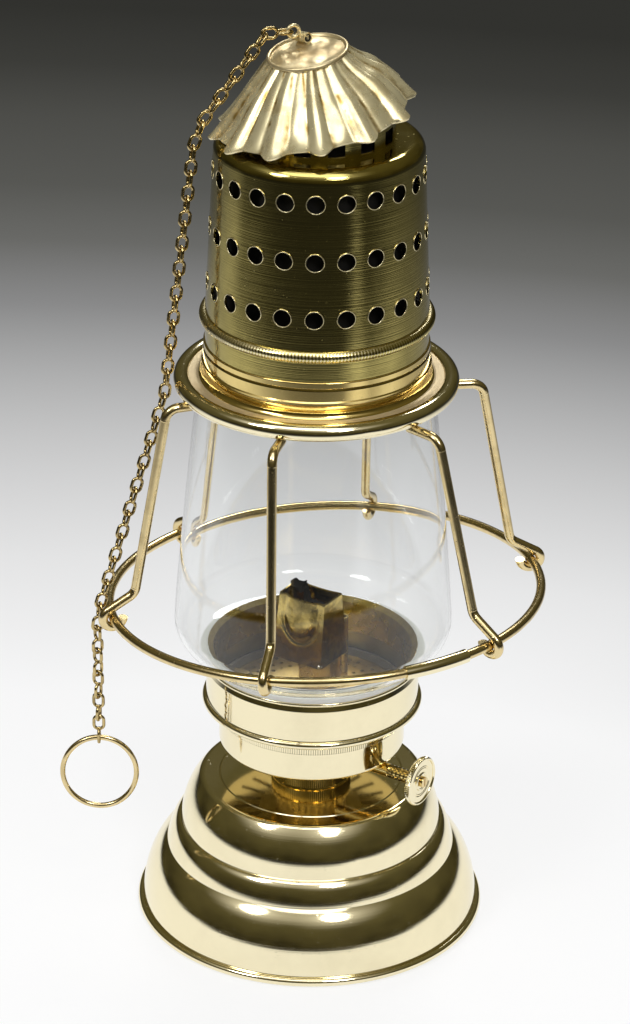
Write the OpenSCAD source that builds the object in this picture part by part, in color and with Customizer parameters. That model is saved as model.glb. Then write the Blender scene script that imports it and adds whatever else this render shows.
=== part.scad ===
// Brass hand lantern: spun oil font, flat-wick burner, clear globe in a wire guard,
// perforated hood with a fluted crown, and a jack chain with a finger ring.
// Millimetres, +Z up, origin at the middle of the foot.

/* [Font] */
// Outside radius of the rolled foot rim
font_r = 54; // [48:0.5:62]
// Radius of the rolled foot rim's section
rim_bead = 1.1; // [0.8:0.1:1.6]
// Height of the lower bell, from the rim's middle to the first step
bell_h = 20.9; // [16:0.1:26]
// Radius at the first step
step_r = 44.7; // [43:0.1:47]
// Height of the convex ring between the steps
ring_h = 7.8; // [5:0.1:11]
// Radius at the foot of the dome
dome_r = 40.3; // [37:0.1:42]
// Height of the dome above its foot
dome_h = 15.2; // [11:0.1:20]
// Radius of the flat on the dome's top
dome_flat_r = 29; // [24:0.5:32]
// Thickness of the spun sheet
sheet = 0.8; // [0.6:0.1:1.2]
// Outside radius of the screw collar on the dome
screw_collar_r = 12.3; // [11.6:0.1:14]
// Height of the screw collar
screw_collar_h = 5; // [4:0.1:8]

/* [Burner] */
// Turn of the burner about the upright axis, in degrees
burner_turn = -33; // [-60:1:0]
// Radius of the burner's screw plug
plug_r = 9; // [8.6:0.1:9.6]
// Length of the screw plug below the collar's top
plug_h = 9; // [7:0.5:12]
// Wall of the screw plug
plug_wall = 1; // [0.8:0.1:1.2]
// Thickness of the rim that rests on the screw collar
neck_rim_t = 1.2; // [1:0.1:1.5]
// Height of the neck between the screw collar and the cup
neck_h = 7.2; // [7:0.1:10]
// Outside radius of the neck
neck_r = 11; // [10.6:0.1:11.6]
// Wall of the neck
neck_wall = 1; // [0.8:0.1:1.2]
// Outside radius of the burner cup
cup_r = 28.6; // [26:0.1:30]
// Height of the burner cup
cup_h = 13.8; // [12:0.1:18]
// Radius of the cup's lower edge
cup_round = 1.6; // [1:0.1:3]
// Number of air slots in the cup's floor
slot_count = 24; // [12:1:32]
// Width of an air slot
slot_w = 1.6; // [1:0.1:2]
// Inner end of the air slots, from the axis
slot_in_r = 16; // [14:0.5:18]
// Outer end of the air slots, from the axis
slot_out_r = 24; // [20:0.5:25]
// Height of the milled grip edge on the cup
grip_h = 2; // [1:0.1:3]
// How far the milled grip edge stands out
grip_proud = 0.4; // [0.2:0.1:0.6]
// Width of the wick
wick_w = 9.5; // [8:0.1:10]
// Thickness of the wick
wick_t = 2.2; // [1.6:0.1:2.6]
// Distance from the upright axis to the wick's middle plane
wick_set = 3; // [0:0.1:3.2]
// Height of the wick above the deflector's floor
wick_above = 22; // [20:0.5:28]
// Height of the wick's lower end above the base plate
wick_end_h = 5; // [5:0.5:12]
// Clearance between the wick and its tube
wick_gap = 0.3; // [0.2:0.05:0.5]
// Wall of the wick tube
tube_wall = 0.6; // [0.4:0.1:0.8]
// Height of the wick tube above the deflector's floor
tube_above = 15; // [12:0.5:19]
// Height of the air plate above the cup's rim
plate_lift = 1.2; // [1.1:0.1:1.5]
// Thickness of the air plate
plate_t = 0.8; // [0.6:0.1:1.2]
// Radius of a hole in the air plate
plate_hole_r = 0.7; // [0.5:0.1:0.8]
// Spacing of the holes in the air plate
plate_pitch = 3; // [2.8:0.1:4]
// Height of the deflector's floor above the air plate
deflector_lift = 13; // [8:0.5:14]
// Height of the flame deflector
deflector_h = 20.5; // [19:0.5:26]
// Width of the deflector at its floor
deflector_w = 16.4; // [15:0.2:18]
// Depth of the deflector at its floor
deflector_d = 13; // [11:0.2:14]
// Width of the deflector at its top
deflector_top_w = 15.4; // [13:0.2:16]
// Depth of the deflector at its top
deflector_top_d = 6.8; // [6.2:0.2:10]
// Thickness of the deflector's sheet
deflector_t = 0.5; // [0.4:0.1:0.8]
// Depth of the saddle in the deflector's lip
saddle_depth = 3; // [1:0.1:4]
// Radius of the vent tube
vent_r = 1.8; // [1.4:0.1:2]
// Wall of the vent tube
vent_wall = 0.5; // [0.4:0.1:0.7]
// Room between the deflector's floor and the vent tube
vent_room = 2.4; // [2:0.1:3]
// Place of the vent tube beside the wick's middle
vent_side = 2; // [0:0.1:4]
// Height of the vent tube above the air plate
vent_h = 21; // [12:0.5:26]

/* [Wick winder] */
// Height of the spindle's axis above the screw collar
spindle_up = 5; // [4.6:0.1:5]
// Distance from the wick's face to the spindle's axis
spindle_back = 2.9; // [2.6:0.1:3.2]
// Radius of the spindle
spindle_r = 1; // [0.8:0.05:1.2]
// Outside radius of the spindle's sleeve
sleeve_r = 1.9; // [1.6:0.1:2]
// Distance from the axis to the sleeve's outer end
sleeve_reach = 38.5; // [34:0.5:42]
// Thickness of the riveted head at the spindle's end
rivet_t = 0.8; // [0.6:0.1:1.2]
// Radius of the riveted head at the spindle's end
rivet_r = 1.7; // [1.4:0.1:2]
// Radius of the thumb knob
knob_r = 7.7; // [6:0.1:9]
// Thickness of the thumb knob
knob_t = 2.4; // [2:0.1:3.5]
// Width of the knob's rim
knob_rim_w = 1.2; // [0.8:0.1:1.6]
// Radius of the knob's hub
knob_hub_r = 2.6; // [2:0.1:3.5]
// Number of teeth on a spur wheel
spur_teeth = 9; // [7:1:12]
// Thickness of a spur wheel
spur_t = 1.2; // [0.8:0.1:1.6]
// Distance between the middles of the two spur wheels
spur_spread = 5.2; // [4:0.1:6]

/* [Globe] */
// How far the globe collar stands out past the cup
collar_step = 4; // [3:0.1:6]
// Height of the globe collar
collar_h = 15; // [12:0.1:18]
// Thickness of the collar's sheet
collar_t = 0.7; // [0.5:0.1:1]
// Radius of the bead at the collar's foot
collar_bead = 0.9; // [0.6:0.1:1.2]
// Radius of the rolled lip at the collar's top
collar_lip = 0.8; // [0.5:0.1:1]
// Depth of the collar's skirt inside the cup
skirt_h = 6; // [4:0.5:8]
// Radial clearance between the skirt and the cup
skirt_gap = 0.08; // [0.05:0.01:0.1]
// Height of the glass globe
globe_h = 103.2; // [90:0.5:115]
// Outside radius of the globe at its widest
globe_r = 42.2; // [39:0.1:44]
// Height of the widest place above the globe's foot
globe_waist_h = 26; // [23:0.5:32]
// Outside radius of the globe's top edge
globe_top_r = 35.2; // [33.8:0.1:36]
// Thickness of the glass
glass_t = 2; // [1.6:0.1:2.4]
// Height of the straight neck at the globe's foot
globe_neck_h = 13; // [12:0.5:15]
// Height of the bend from the globe's neck into its shoulder
globe_bend_h = 2.4; // [1.8:0.1:3]
// Width of the bend from the globe's neck into its shoulder
globe_bend_w = 0.6; // [0.4:0.1:0.8]
// Clearance between the glass and the collar's wall
glass_gap = 0.7; // [0.4:0.1:0.9]
// Thickness of the cement seals under and over the glass
seal_t = 2.2; // [1.4:0.1:3]

/* [Flange and guard] */
// Outside radius of the flange
flange_r = 42.3; // [41:0.1:45]
// Radius of the flange's rolled bead
flange_bead = 2.6; // [2:0.1:3.2]
// Thickness of the flange's plate
flange_t = 1; // [0.6:0.1:1.4]
// Height of the moulding that carries the hood
moulding_h = 9.3; // [7:0.1:12]
// Outside radius of the moulding
moulding_r = 33.6; // [33.2:0.1:34.4]
// Radius of the cove at the moulding's foot
cove_r = 2.2; // [1.5:0.1:2.4]
// Height of the sleeve inside the hood, above the moulding
sleeve_h = 7.5; // [5:0.5:9]
// Diameter of the guard wire
wire_d = 2.9; // [2.4:0.1:3.2]
// Direction of the first guard wire, in degrees
wire_turn = 14; // [5:1:22]
// Turn of the first wire's upper end from its even place, in degrees
wire_1_top_turn = -7; // [-8:1:8]
// Turn of the first wire's foot from its even place, in degrees
wire_1_foot_turn = 1; // [-8:1:8]
// Turn of the second wire's upper end from its even place, in degrees
wire_2_top_turn = -4; // [-8:1:8]
// Turn of the second wire's foot from its even place, in degrees
wire_2_foot_turn = 0; // [-8:1:8]
// Turn of the third wire's upper end from its even place, in degrees
wire_3_top_turn = -4; // [-8:1:8]
// Turn of the third wire's foot from its even place, in degrees
wire_3_foot_turn = -3; // [-8:1:8]
// Turn of the fourth wire's upper end from its even place, in degrees
wire_4_top_turn = 6; // [-8:1:8]
// Turn of the fourth wire's foot from its even place, in degrees
wire_4_foot_turn = 1; // [-8:1:8]
// Turn of the fifth wire's upper end from its even place, in degrees
wire_5_top_turn = 1; // [-8:1:8]
// Turn of the fifth wire's foot from its even place, in degrees
wire_5_foot_turn = 4; // [-8:1:8]
// Turn of the sixth wire's upper end from its even place, in degrees
wire_6_top_turn = 2; // [-8:1:8]
// Turn of the sixth wire's foot from its even place, in degrees
wire_6_foot_turn = 6; // [-8:1:8]
// Distance from the axis to a wire's inner end
wire_in_r = 37.6; // [37:0.1:39]
// Distance from the axis to a wire's upper bend
wire_out_r = 48; // [47:0.1:50]
// Radius of a wire's bends
wire_bend_r = 4; // [3:0.1:5]
// Length of a wire's foot between its knee and its hook
wire_foot = 9.5; // [8:0.1:12]
// Fall of a wire's foot, in degrees
wire_foot_fall = 30; // [20:1:40]
// Turn of a wire's hook round the hoop, in degrees
hook_turn = 235; // [180:5:240]
// Radius of the guard hoop
hoop_r = 65.5; // [62:0.5:70]
// Depth of the hoop below the flange's bead
hoop_drop = 70.3; // [64:0.1:76]
// Shift of the hand-bent hoop to the right
hoop_shift = 3.5; // [0:0.1:4]
// Lean of the hand-bent hoop, in degrees
hoop_lean = 4.2; // [0:0.1:5]
// Direction in which the hoop is highest, in degrees
hoop_high = -45; // [-90:5:0]
// Direction of the middle of the hoop's ferrule, in degrees
ferrule_at = -60; // [-66:1:-54]
// Length of the ferrule along the hoop, in degrees
ferrule_span = 18; // [10:1:24]
// Wall of the ferrule
ferrule_t = 0.6; // [0.4:0.1:0.8]

/* [Hood] */
// Outside radius of the hood at its hem
hood_r = 33; // [32.7:0.1:33.4]
// Outside radius of the hood below its shoulder
hood_top_r = 30.6; // [29:0.1:31.5]
// Height of the hood from hem to top
hood_h = 65; // [58:0.5:72]
// Thickness of the hood's sheet
hood_t = 0.7; // [0.5:0.1:0.9]
// Radius of the hood's shoulder
shoulder_r = 4; // [3:0.1:6]
// Height of the milled bead above the hem
hood_bead_h = 9.8; // [9:0.1:12]
// Radius of the milled bead
hood_bead = 1.3; // [1:0.1:1.6]
// Height of the hem's fold
hem_h = 2; // [1:0.1:3]
// Thickness of the hem's fold
hem_t = 0.4; // [0.2:0.1:0.6]
// Radius of a hood hole
hole_r = 2.65; // [2:0.05:3]
// Holes in each row
hole_count = 22; // [16:1:24]
// Height of the lowest row of holes above the hem
hole_low_h = 21; // [18:0.5:24]
// Height between the rows of holes
hole_row_h = 17.2; // [14:0.1:18]
// Rows of holes
hole_rows = 3; // [2:1:3]
// Direction of the first hole, in degrees
hole_turn = -91.5; // [-100:0.5:-80]
// Room between the hood's wall below its shoulder and the wind liner
liner_room = 2.4; // [2:0.1:4]
// Thickness of the wind liner
liner_t = 0.5; // [0.4:0.1:0.8]
// Height of the wind liner's lower edge above the hem
liner_low_h = 11; // [8:0.5:16]
// Outside radius of the vent neck on the hood
vent_neck_r = 22; // [20:0.1:23]
// Number of windows in the vent neck
window_count = 14; // [8:1:18]
// Height of the windows' sill above the hood's top
window_sill = 1; // [0.6:0.1:1.4]
// Height of a window in the vent neck
window_h = 4.5; // [3:0.1:5]

/* [Crown] */
// Height of the brim's middle above the hood's top
crown_lift = 5.5; // [5:0.1:9]
// Radius of the crown's brim
crown_r = 29.3; // [26:0.1:30]
// Height of the crown from brim to disc
crown_h = 20; // [17:0.1:24]
// Hollow of the crown's side: 1 is straight
crown_flare = 1.2; // [1:0.05:1.4]
// Radius of the crown's disc
crown_disc_r = 11.4; // [10.5:0.1:14]
// Lean of the crown to the left, in degrees
crown_lean = 9.8; // [0:0.1:11]
// Shift of the crown to the left
crown_shift = 1.5; // [0:0.1:2]
// Number of flutes
flute_count = 12; // [8:1:16]
// Turn of the flutes, in degrees
flute_turn = 4.5; // [0:0.5:15]
// Depth of the flutes at the brim
flute_depth = 2.4; // [1:0.1:3]
// Thickness of the crown's sheet
crown_t = 0.6; // [0.4:0.1:0.8]
// Radius of the rolled rim round the disc
disc_rim = 0.7; // [0.6:0.1:1]
// Place of the eye's hole behind the disc's middle
eye_back = 7.4; // [5:0.1:8]
// Place of the eye's hole to the right of the disc's middle
eye_right = 1.3; // [0:0.1:2]
// Radius of the eye's ring
eye_r = 1.7; // [1.6:0.1:2.2]
// Diameter of the eye's wire
eye_d = 1.1; // [0.9:0.1:1.2]
// Reach of the eye from its hole to the ring's middle
eye_reach = 4.2; // [3.8:0.1:5]
// Height of the eye's ring above the disc
eye_up = 3.6; // [3.4:0.1:5]

/* [Chain] */
// Diameter of the chain's wire
chain_d = 1; // [0.8:0.1:1.1]
// Length from link to link
chain_pitch = 7.7; // [7.2:0.1:8.4]
// Radius of a link's loop, at the wire's middle
loop_r = 1.5; // [1.45:0.05:1.7]
// Play between two links
chain_play = 0.2; // [0.1:0.01:0.25]
// Direction in which the chain hangs, in degrees
chain_turn = 199; // [190:0.5:202]
// Fall of the first link over the crown's disc, in degrees
first_fall = 0; // [-2:1:3]
// Clearance between the chain and what it hangs past
chain_gap = 0.4; // [0.3:0.1:1]
// Links hanging below the hoop
tail_links = 5; // [3:1:6]
// Radius of the finger ring, at the wire's middle
ring_r = 11.3; // [9:0.1:14]
// Diameter of the finger ring's wire
ring_d = 1.6; // [1.4:0.1:1.7]

/* [Hidden] */
// Number of guard wires
wire_count = 6;
// Clearance of soldered and pressed seats
seat = 0.05;
// Swelling of a wire where a bend begins or ends
swell = 0.03;
// Turn of a joint sphere's seam away from the wire's, in degrees
seam_turn = 40;
// Clearance of a running shaft
run = 0.05;
// Clearance between pieces that pass each other
pass = 0.3;
// Overlap of a cut past the wall it opens
cut = 1;
// Points on a round stretch of an outline
arc_n = 8;
// Facets of the round pieces
$fn = 48;

// Heights of the stacked pieces
step_z = rim_bead + bell_h;
dome_z = step_z + ring_h;
dome_top = dome_z + dome_h;
screw_top = dome_top + screw_collar_h;
cup_z = screw_top + neck_h;
cup_top = cup_z + cup_h;
plate_z = cup_top + plate_lift;
deflector_z = plate_z + plate_t + deflector_lift;
wick_top = deflector_z + wick_above;
spindle_z = screw_top + spindle_up;
collar_top = cup_top + collar_h;
glass_z = cup_top + collar_t + seal_t;
glass_top = glass_z + globe_h;
flange_z = glass_top + seal_t;
flange_top = flange_z + flange_t;
bead_z = flange_z + flange_t / 2 - flange_bead / 3;
hem_z = flange_top + moulding_h;
hood_top = hem_z + hood_h;
wire_z = bead_z - flange_bead - wire_d / 2 - seat;
hoop_z = bead_z - hoop_drop;
crown_z = hood_top + crown_lift;

// Radii that follow from a fit
screw_bore_r = plug_r + run;
base_r = font_r - 2 * rim_bead - seat;
cup_in_r = cup_r - collar_t;
collar_r = cup_r + collar_step;
skirt_r = cup_in_r - skirt_gap;
plate_r = skirt_r - collar_t - pass;
glass_foot_r = collar_r - collar_t - glass_gap;
hood_in_r = hood_r - hood_t;
flange_sleeve_r = hood_in_r - skirt_gap;
neck_in_r = neck_r - neck_wall;
tube_w = wick_w + 2 * (wick_gap + tube_wall);
tube_t = wick_t + 2 * (wick_gap + tube_wall);
spindle_y = wick_set - wick_t / 2 - spindle_back;
spur_r = spindle_back - wick_gap;
knob_x = sleeve_reach + pass;
hook_r = wire_d + 5 * seat;
top_turns = [wire_1_top_turn, wire_2_top_turn, wire_3_top_turn,
    wire_4_top_turn, wire_5_top_turn, wire_6_top_turn];
foot_turns = [wire_1_foot_turn, wire_2_foot_turn, wire_3_foot_turn,
    wire_4_foot_turn, wire_5_foot_turn, wire_6_foot_turn];

function unit(v) = v / norm(v);
function flat(v) = [v[0], v[1]];
function ray_to_circle(p, u, r) = -(p * u) + sqrt(pow(p * u, 2) - p * p + r * r);

// Oval stretch from an upright start to an end that has turned by t_end degrees
function oval(a, b, t_end) = [
    for (i = [0:arc_n])
        let (t = t_end * i / arc_n)
        [a[0] + (b[0] - a[0]) * (1 - cos(t)) / (1 - cos(t_end)),
         a[1] + (b[1] - a[1]) * sin(t) / sin(t_end)]
];
function arc(c, r, from, to) = [
    for (i = [0:arc_n])
        let (t = from + (to - from) * i / arc_n)
        c + r * [cos(t), sin(t)]
];
function backwards(p) = [for (i = [len(p) - 1:-1:0]) p[i]];
// Points moved by t to the left of their line
function inset(p, t) = [
    for (i = [0:len(p) - 1])
        let (d = unit(p[min(i + 1, len(p) - 1)] - p[max(i - 1, 0)]))
        p[i] + t * [-d[1], d[0]]
];

module tube(r_out, r_in, h) {
    difference() {
        cylinder(r = r_out, h = h);
        translate([0, 0, -cut]) cylinder(r = r_in, h = h + 2 * cut);
    }
}
module box(size) {
    translate([-size[0] / 2, -size[1] / 2, 0]) cube(size);
}
// Round wire from p to q
module rod(p, q, d) {
    v = q - p;
    translate(p)
        rotate([0, acos(v[2] / norm(v)), atan2(v[1], v[0])])
            cylinder(d = d, h = norm(v));
}
// Bend of a wire in the XY plane
module bend(r, d, from, turn) {
    rotate_extrude(angle = turn, start = from) translate([r, 0]) circle(d = d);
}
// Wire through the points p in the XY plane, with bends of radius r
function turn_at(p, i) =
    let (u = p[i] - p[i - 1], w = p[i + 1] - p[i])
    atan2(u[0] * w[1] - u[1] * w[0], u * w);
function bend_len(p, i, r) =
    (i == 0 || i == len(p) - 1) ? 0 : r * tan(abs(turn_at(p, i)) / 2);
module bent_wire(p, r, d) {
    for (i = [0:len(p) - 2]) {
        u = unit(p[i + 1] - p[i]);
        a = p[i] + u * bend_len(p, i, r);
        b = p[i + 1] - u * bend_len(p, i + 1, r);
        lie = [0, 90, atan2(u[1], u[0])];
        translate(a) rotate(lie) cylinder(d = d, h = norm(b - a));
        if (i > 0) translate(a) rotate(lie) rotate([0, 0, seam_turn]) sphere(d = d + 2 * swell);
        translate(b) rotate(lie) rotate([0, 0, seam_turn]) sphere(d = d + 2 * swell);
    }
    for (i = [1:len(p) - 2]) {
        u = unit(p[i] - p[i - 1]);
        t = turn_at(p, i);
        side = sign(t);
        c = p[i] - u * bend_len(p, i, r) + side * r * [-u[1], u[0]];
        from = atan2(u[1], u[0]) - side * 90;
        translate(c) bend(r, d, min(from, from + t), abs(t));
    }
}

// Oil font
bell_start = [font_r - rim_bead, rim_bead];
bell_line = oval(bell_start, [step_r, step_z], 62);
ring_line = oval([step_r, step_z], [dome_r, dome_z], 78);
dome_line = oval([dome_r, dome_z], [dome_flat_r, dome_top], 90);

module font_shell() {
    color("gold") {
        rotate_extrude() polygon(concat(
            bell_line,
            [for (i = [1:arc_n]) ring_line[i]],
            [for (i = [1:arc_n]) dome_line[i]],
            [[screw_bore_r + sheet, dome_top], [screw_bore_r + sheet, dome_top - sheet]],
            backwards(inset(dome_line, sheet)),
            backwards([for (i = [1:arc_n - 1]) inset(ring_line, sheet)[i]]),
            backwards(inset(bell_line, sheet))
        ));
        rotate_extrude() translate([font_r - rim_bead, rim_bead]) circle(r = rim_bead);
    }
}
module font_base_plate() {
    color("goldenrod") cylinder(r = base_r, h = sheet);
}
module font_screw_collar() {
    color("gold") translate([0, 0, dome_top]) tube(screw_collar_r, screw_bore_r, screw_collar_h);
}

// Burner, turned so that the knob points to the front right
module in_burner() {
    rotate([0, 0, burner_turn]) children();
}
module along_spindle(x) {
    translate([x, spindle_y, spindle_z]) rotate([0, 90, 0]) children();
}
module burner_neck() {
    plug_z = screw_top - plug_h;
    color("goldenrod") in_burner() difference() {
        union() {
            translate([0, 0, plug_z]) cylinder(r = plug_r, h = plug_h);
            translate([0, 0, screw_top]) cylinder(r = screw_collar_r, h = neck_rim_t);
            translate([0, 0, screw_top]) cylinder(r = neck_r, h = neck_h);
        }
        translate([0, 0, plug_z - cut]) cylinder(r = plug_r - plug_wall, h = plug_h + neck_rim_t + cut);
        translate([0, 0, screw_top + neck_rim_t]) cylinder(r = neck_in_r, h = neck_h);
        along_spindle(0) cylinder(r = sleeve_r + seat, h = neck_r + cut);
        along_spindle(-neck_r - cut) cylinder(r = spindle_r + run, h = neck_r + cut);
    }
}
module burner_cup() {
    wall = cup_r - cup_in_r;
    color("gold") in_burner() difference() {
        rotate_extrude() polygon(concat(
            [[0, cup_z]],
            arc([cup_r - cup_round, cup_z + cup_round], cup_round, -90, 0),
            [[cup_r, cup_top - 2 * grip_h],
             [cup_r + grip_proud, cup_top - 2 * grip_h],
             [cup_r + grip_proud, cup_top - grip_h],
             [cup_r, cup_top - grip_h],
             [cup_r, cup_top],
             [cup_in_r, cup_top]],
            arc([cup_r - cup_round, cup_z + cup_round], cup_round - wall, 0, -90),
            [[0, cup_z + wall]]
        ));
        translate([0, wick_set, cup_z - cut]) box([tube_w + 2 * seat, tube_t + 2 * seat, cup_h]);
        for (side = [-1, 1])
            translate([side * spur_spread / 2, spindle_y, cup_z - cut])
                box([spur_t + 2 * pass, 2 * (spur_r + pass), cut + wall + pass]);
        translate([0, 0, cup_z]) at_vent() translate([0, 0, -cut]) cylinder(r = vent_r + seat, h = cup_h);
        for (i = [0:slot_count - 1])
            rotate([0, 0, (i + 0.5) * 360 / slot_count])
                translate([slot_in_r, -slot_w / 2, cup_z - cut])
                    cube([slot_out_r - slot_in_r, slot_w, 2 * cut + wall]);
    }
}
module at_vent() {
    translate([vent_side, wick_set + deflector_d / 2 + vent_room + vent_r, 0]) children();
}
module air_plate() {
    rows = floor((plate_r - plate_hole_r - 1) / plate_pitch);
    near = wick_set + norm([deflector_w, deflector_d]) / 2;
    color("darkgoldenrod") in_burner() difference() {
        translate([0, 0, plate_z]) cylinder(r = plate_r, h = plate_t);
        translate([0, wick_set, plate_z - cut]) box([tube_w + 2 * seat, tube_t + 2 * seat, plate_t + 2 * cut]);
        translate([0, 0, plate_z - cut]) at_vent() cylinder(r = vent_r + seat, h = plate_t + 2 * cut);
        for (k = [ceil((near + vent_r + 2) / plate_pitch):rows])
            let (n = floor(2 * PI * k))
            for (i = [0:n - 1])
                rotate([0, 0, i * 360 / n])
                    translate([k * plate_pitch, 0, plate_z - cut])
                        cylinder(r = plate_hole_r, h = plate_t + 2 * cut, $fn = 16);
    }
}
module wick_tube() {
    low = screw_top - plug_h;
    high = deflector_z + tube_above;
    inner = [tube_w - 2 * tube_wall, tube_t - 2 * tube_wall];
    color("peru") in_burner() translate([0, wick_set, 0]) difference() {
        translate([0, 0, low]) box([tube_w, tube_t, high - low]);
        translate([0, 0, low - cut]) box([inner[0], inner[1], high - low + 2 * cut]);
        translate([0, -tube_t / 2, spindle_z - spur_r - pass])
            box([spur_spread + spur_t + 2 * pass, 2 * tube_wall + 2 * wick_gap, 2 * (spur_r + pass)]);
    }
}
// Box that tapers from the size low to the size high
module taper_box(low, high, h) {
    corners = [[-1, -1], [1, -1], [1, 1], [-1, 1]];
    points = concat(
        [for (c = corners) [c[0] * low[0] / 2, c[1] * low[1] / 2, 0]],
        [for (c = corners) [c[0] * high[0] / 2, c[1] * high[1] / 2, h]]
    );
    polyhedron(points = points, faces = [
        [0, 1, 2, 3], [7, 6, 5, 4],
        [1, 0, 4, 5], [2, 1, 5, 6], [3, 2, 6, 7], [0, 3, 7, 4]
    ]);
}
module deflector_body(grow) {
    low = [deflector_w + 2 * grow, deflector_d + 2 * grow];
    high = [deflector_top_w + 2 * grow, deflector_top_d + 2 * grow];
    taper_box(low, high, deflector_h);
}
module flame_deflector() {
    saddle_r = (pow(deflector_w / 2, 2) + pow(saddle_depth, 2)) / (2 * saddle_depth);
    color("goldenrod") in_burner() translate([0, wick_set, deflector_z]) difference() {
        deflector_body(0);
        translate([0, 0, deflector_t]) deflector_body(-deflector_t);
        translate([0, 0, -cut]) box([tube_w + 2 * seat, tube_t + 2 * seat, 2 * cut]);
        translate([0, 0, deflector_h + saddle_r - saddle_depth])
            rotate([90, 0, 0])
                translate([0, 0, -deflector_d])
                    cylinder(r = saddle_r, h = 2 * deflector_d);
    }
}
module vent_tube() {
    low = cup_z;
    high = plate_z + plate_t + vent_h;
    color("goldenrod") in_burner() at_vent() translate([0, 0, low]) tube(vent_r, vent_r - vent_wall, high - low);
}
module spindle_sleeve() {
    start = neck_in_r - neck_wall / 2;
    color("gold") in_burner() along_spindle(start) tube(sleeve_r, spindle_r + run, sleeve_reach - start);
}

// Wick winder
module wick_spindle() {
    last = knob_x + knob_t;
    color("goldenrod") in_burner() difference() {
        union() {
            along_spindle(-neck_r) cylinder(r = spindle_r, h = last + neck_r);
            along_spindle(last) cylinder(r = rivet_r, h = rivet_t);
        }
        along_spindle(last + rivet_t / 2) box([2 * rivet_r + cut, 0.3 * rivet_r, cut]);
    }
}
module spur_wheels() {
    root = 0.72 * spur_r;
    color("dimgray") in_burner()
        for (side = [-1, 1])
            along_spindle(side * spur_spread / 2 - spur_t / 2)
                linear_extrude(height = spur_t) difference() {
                    polygon([
                        for (i = [0:2 * spur_teeth - 1])
                            let (a = i * 180 / spur_teeth, r = i % 2 == 0 ? spur_r : root)
                            r * [cos(a), sin(a)]
                    ]);
                    circle(r = spindle_r + seat / 2);
                }
}
module thumb_knob() {
    web = 0.55 * knob_t;
    color("gold") in_burner() along_spindle(knob_x) rotate_extrude() polygon([
        [spindle_r + seat / 2, 0],
        [knob_hub_r, 0],
        [knob_hub_r + 0.6, knob_t - web],
        [knob_r - knob_rim_w, knob_t - web],
        [knob_r - knob_rim_w, 0.2 * knob_t],
        [knob_r, 0.2 * knob_t],
        [knob_r, knob_t - 0.3],
        [knob_r - 0.3, knob_t],
        [knob_r - knob_rim_w, knob_t],
        [knob_r - knob_rim_w - 0.3, knob_t - 0.35],
        [knob_hub_r + 0.9, knob_t - 0.35],
        [knob_hub_r + 0.4, knob_t],
        [spindle_r + seat / 2, knob_t]
    ]);
}
module wick() {
    low = sheet + wick_end_h;
    color("wheat") in_burner() translate([0, wick_set, low]) box([wick_w, wick_t, wick_top - low]);
}

// Globe and its guard
module globe_collar() {
    floor_in = skirt_r - collar_t;
    color("gold") rotate_extrude() union() {
        translate([collar_r - collar_t, cup_top]) square([collar_t, collar_h]);
        translate([floor_in, cup_top]) square([collar_r - floor_in, collar_t]);
        translate([floor_in, cup_top - skirt_h]) square([collar_t, skirt_h + collar_t]);
        translate([collar_r, cup_top + collar_bead]) circle(r = collar_bead);
        translate([collar_r - collar_t + collar_lip, collar_top]) circle(r = collar_lip);
    }
}
module lower_seal() {
    color("whitesmoke") translate([0, 0, cup_top + collar_t])
        tube(glass_foot_r, glass_foot_r - glass_t, seal_t);
}
glass_waist = [globe_r, glass_z + globe_waist_h];
glass_neck = [glass_foot_r, glass_z + globe_neck_h];
glass_line = concat(
    [[glass_foot_r, glass_z], glass_neck],
    backwards(oval(glass_waist, [glass_foot_r + globe_bend_w, glass_neck[1] + globe_bend_h], 84)),
    [for (i = [1:arc_n])
        let (u = i / arc_n)
        [globe_r - (globe_r - globe_top_r) * pow(u, 1.15), glass_waist[1] + (glass_top - glass_waist[1]) * u]]
);
module glass_globe() {
    color("azure", 0.35) rotate_extrude()
        polygon(concat(glass_line, backwards(inset(glass_line, glass_t))));
}
module upper_seal() {
    color("whitesmoke") translate([0, 0, glass_top]) tube(globe_top_r, globe_top_r - glass_t, seal_t);
}
module top_flange() {
    sleeve_in = flange_sleeve_r - collar_t;
    color("gold") rotate_extrude() union() {
        translate([sleeve_in, flange_z]) square([flange_r - flange_bead - sleeve_in, flange_t]);
        translate([flange_r - flange_bead, bead_z]) circle(r = flange_bead);
        translate([sleeve_in, flange_z]) square([moulding_r - sleeve_in, flange_t + moulding_h]);
        translate([sleeve_in, hem_z]) square([collar_t, sleeve_h]);
        difference() {
            translate([moulding_r, flange_top]) square([cove_r, cove_r]);
            translate([moulding_r + cove_r, flange_top + cove_r]) circle(r = cove_r);
        }
    }
}
// Hoop height and distance from the axis in direction a
function hoop_reach(a) = ray_to_circle([-hoop_shift, 0], [cos(a), sin(a)], hoop_r);
function hoop_level(p) =
    hoop_z + tan(hoop_lean) * ((p[0] - hoop_shift) * cos(hoop_high) + p[1] * sin(hoop_high));
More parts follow.
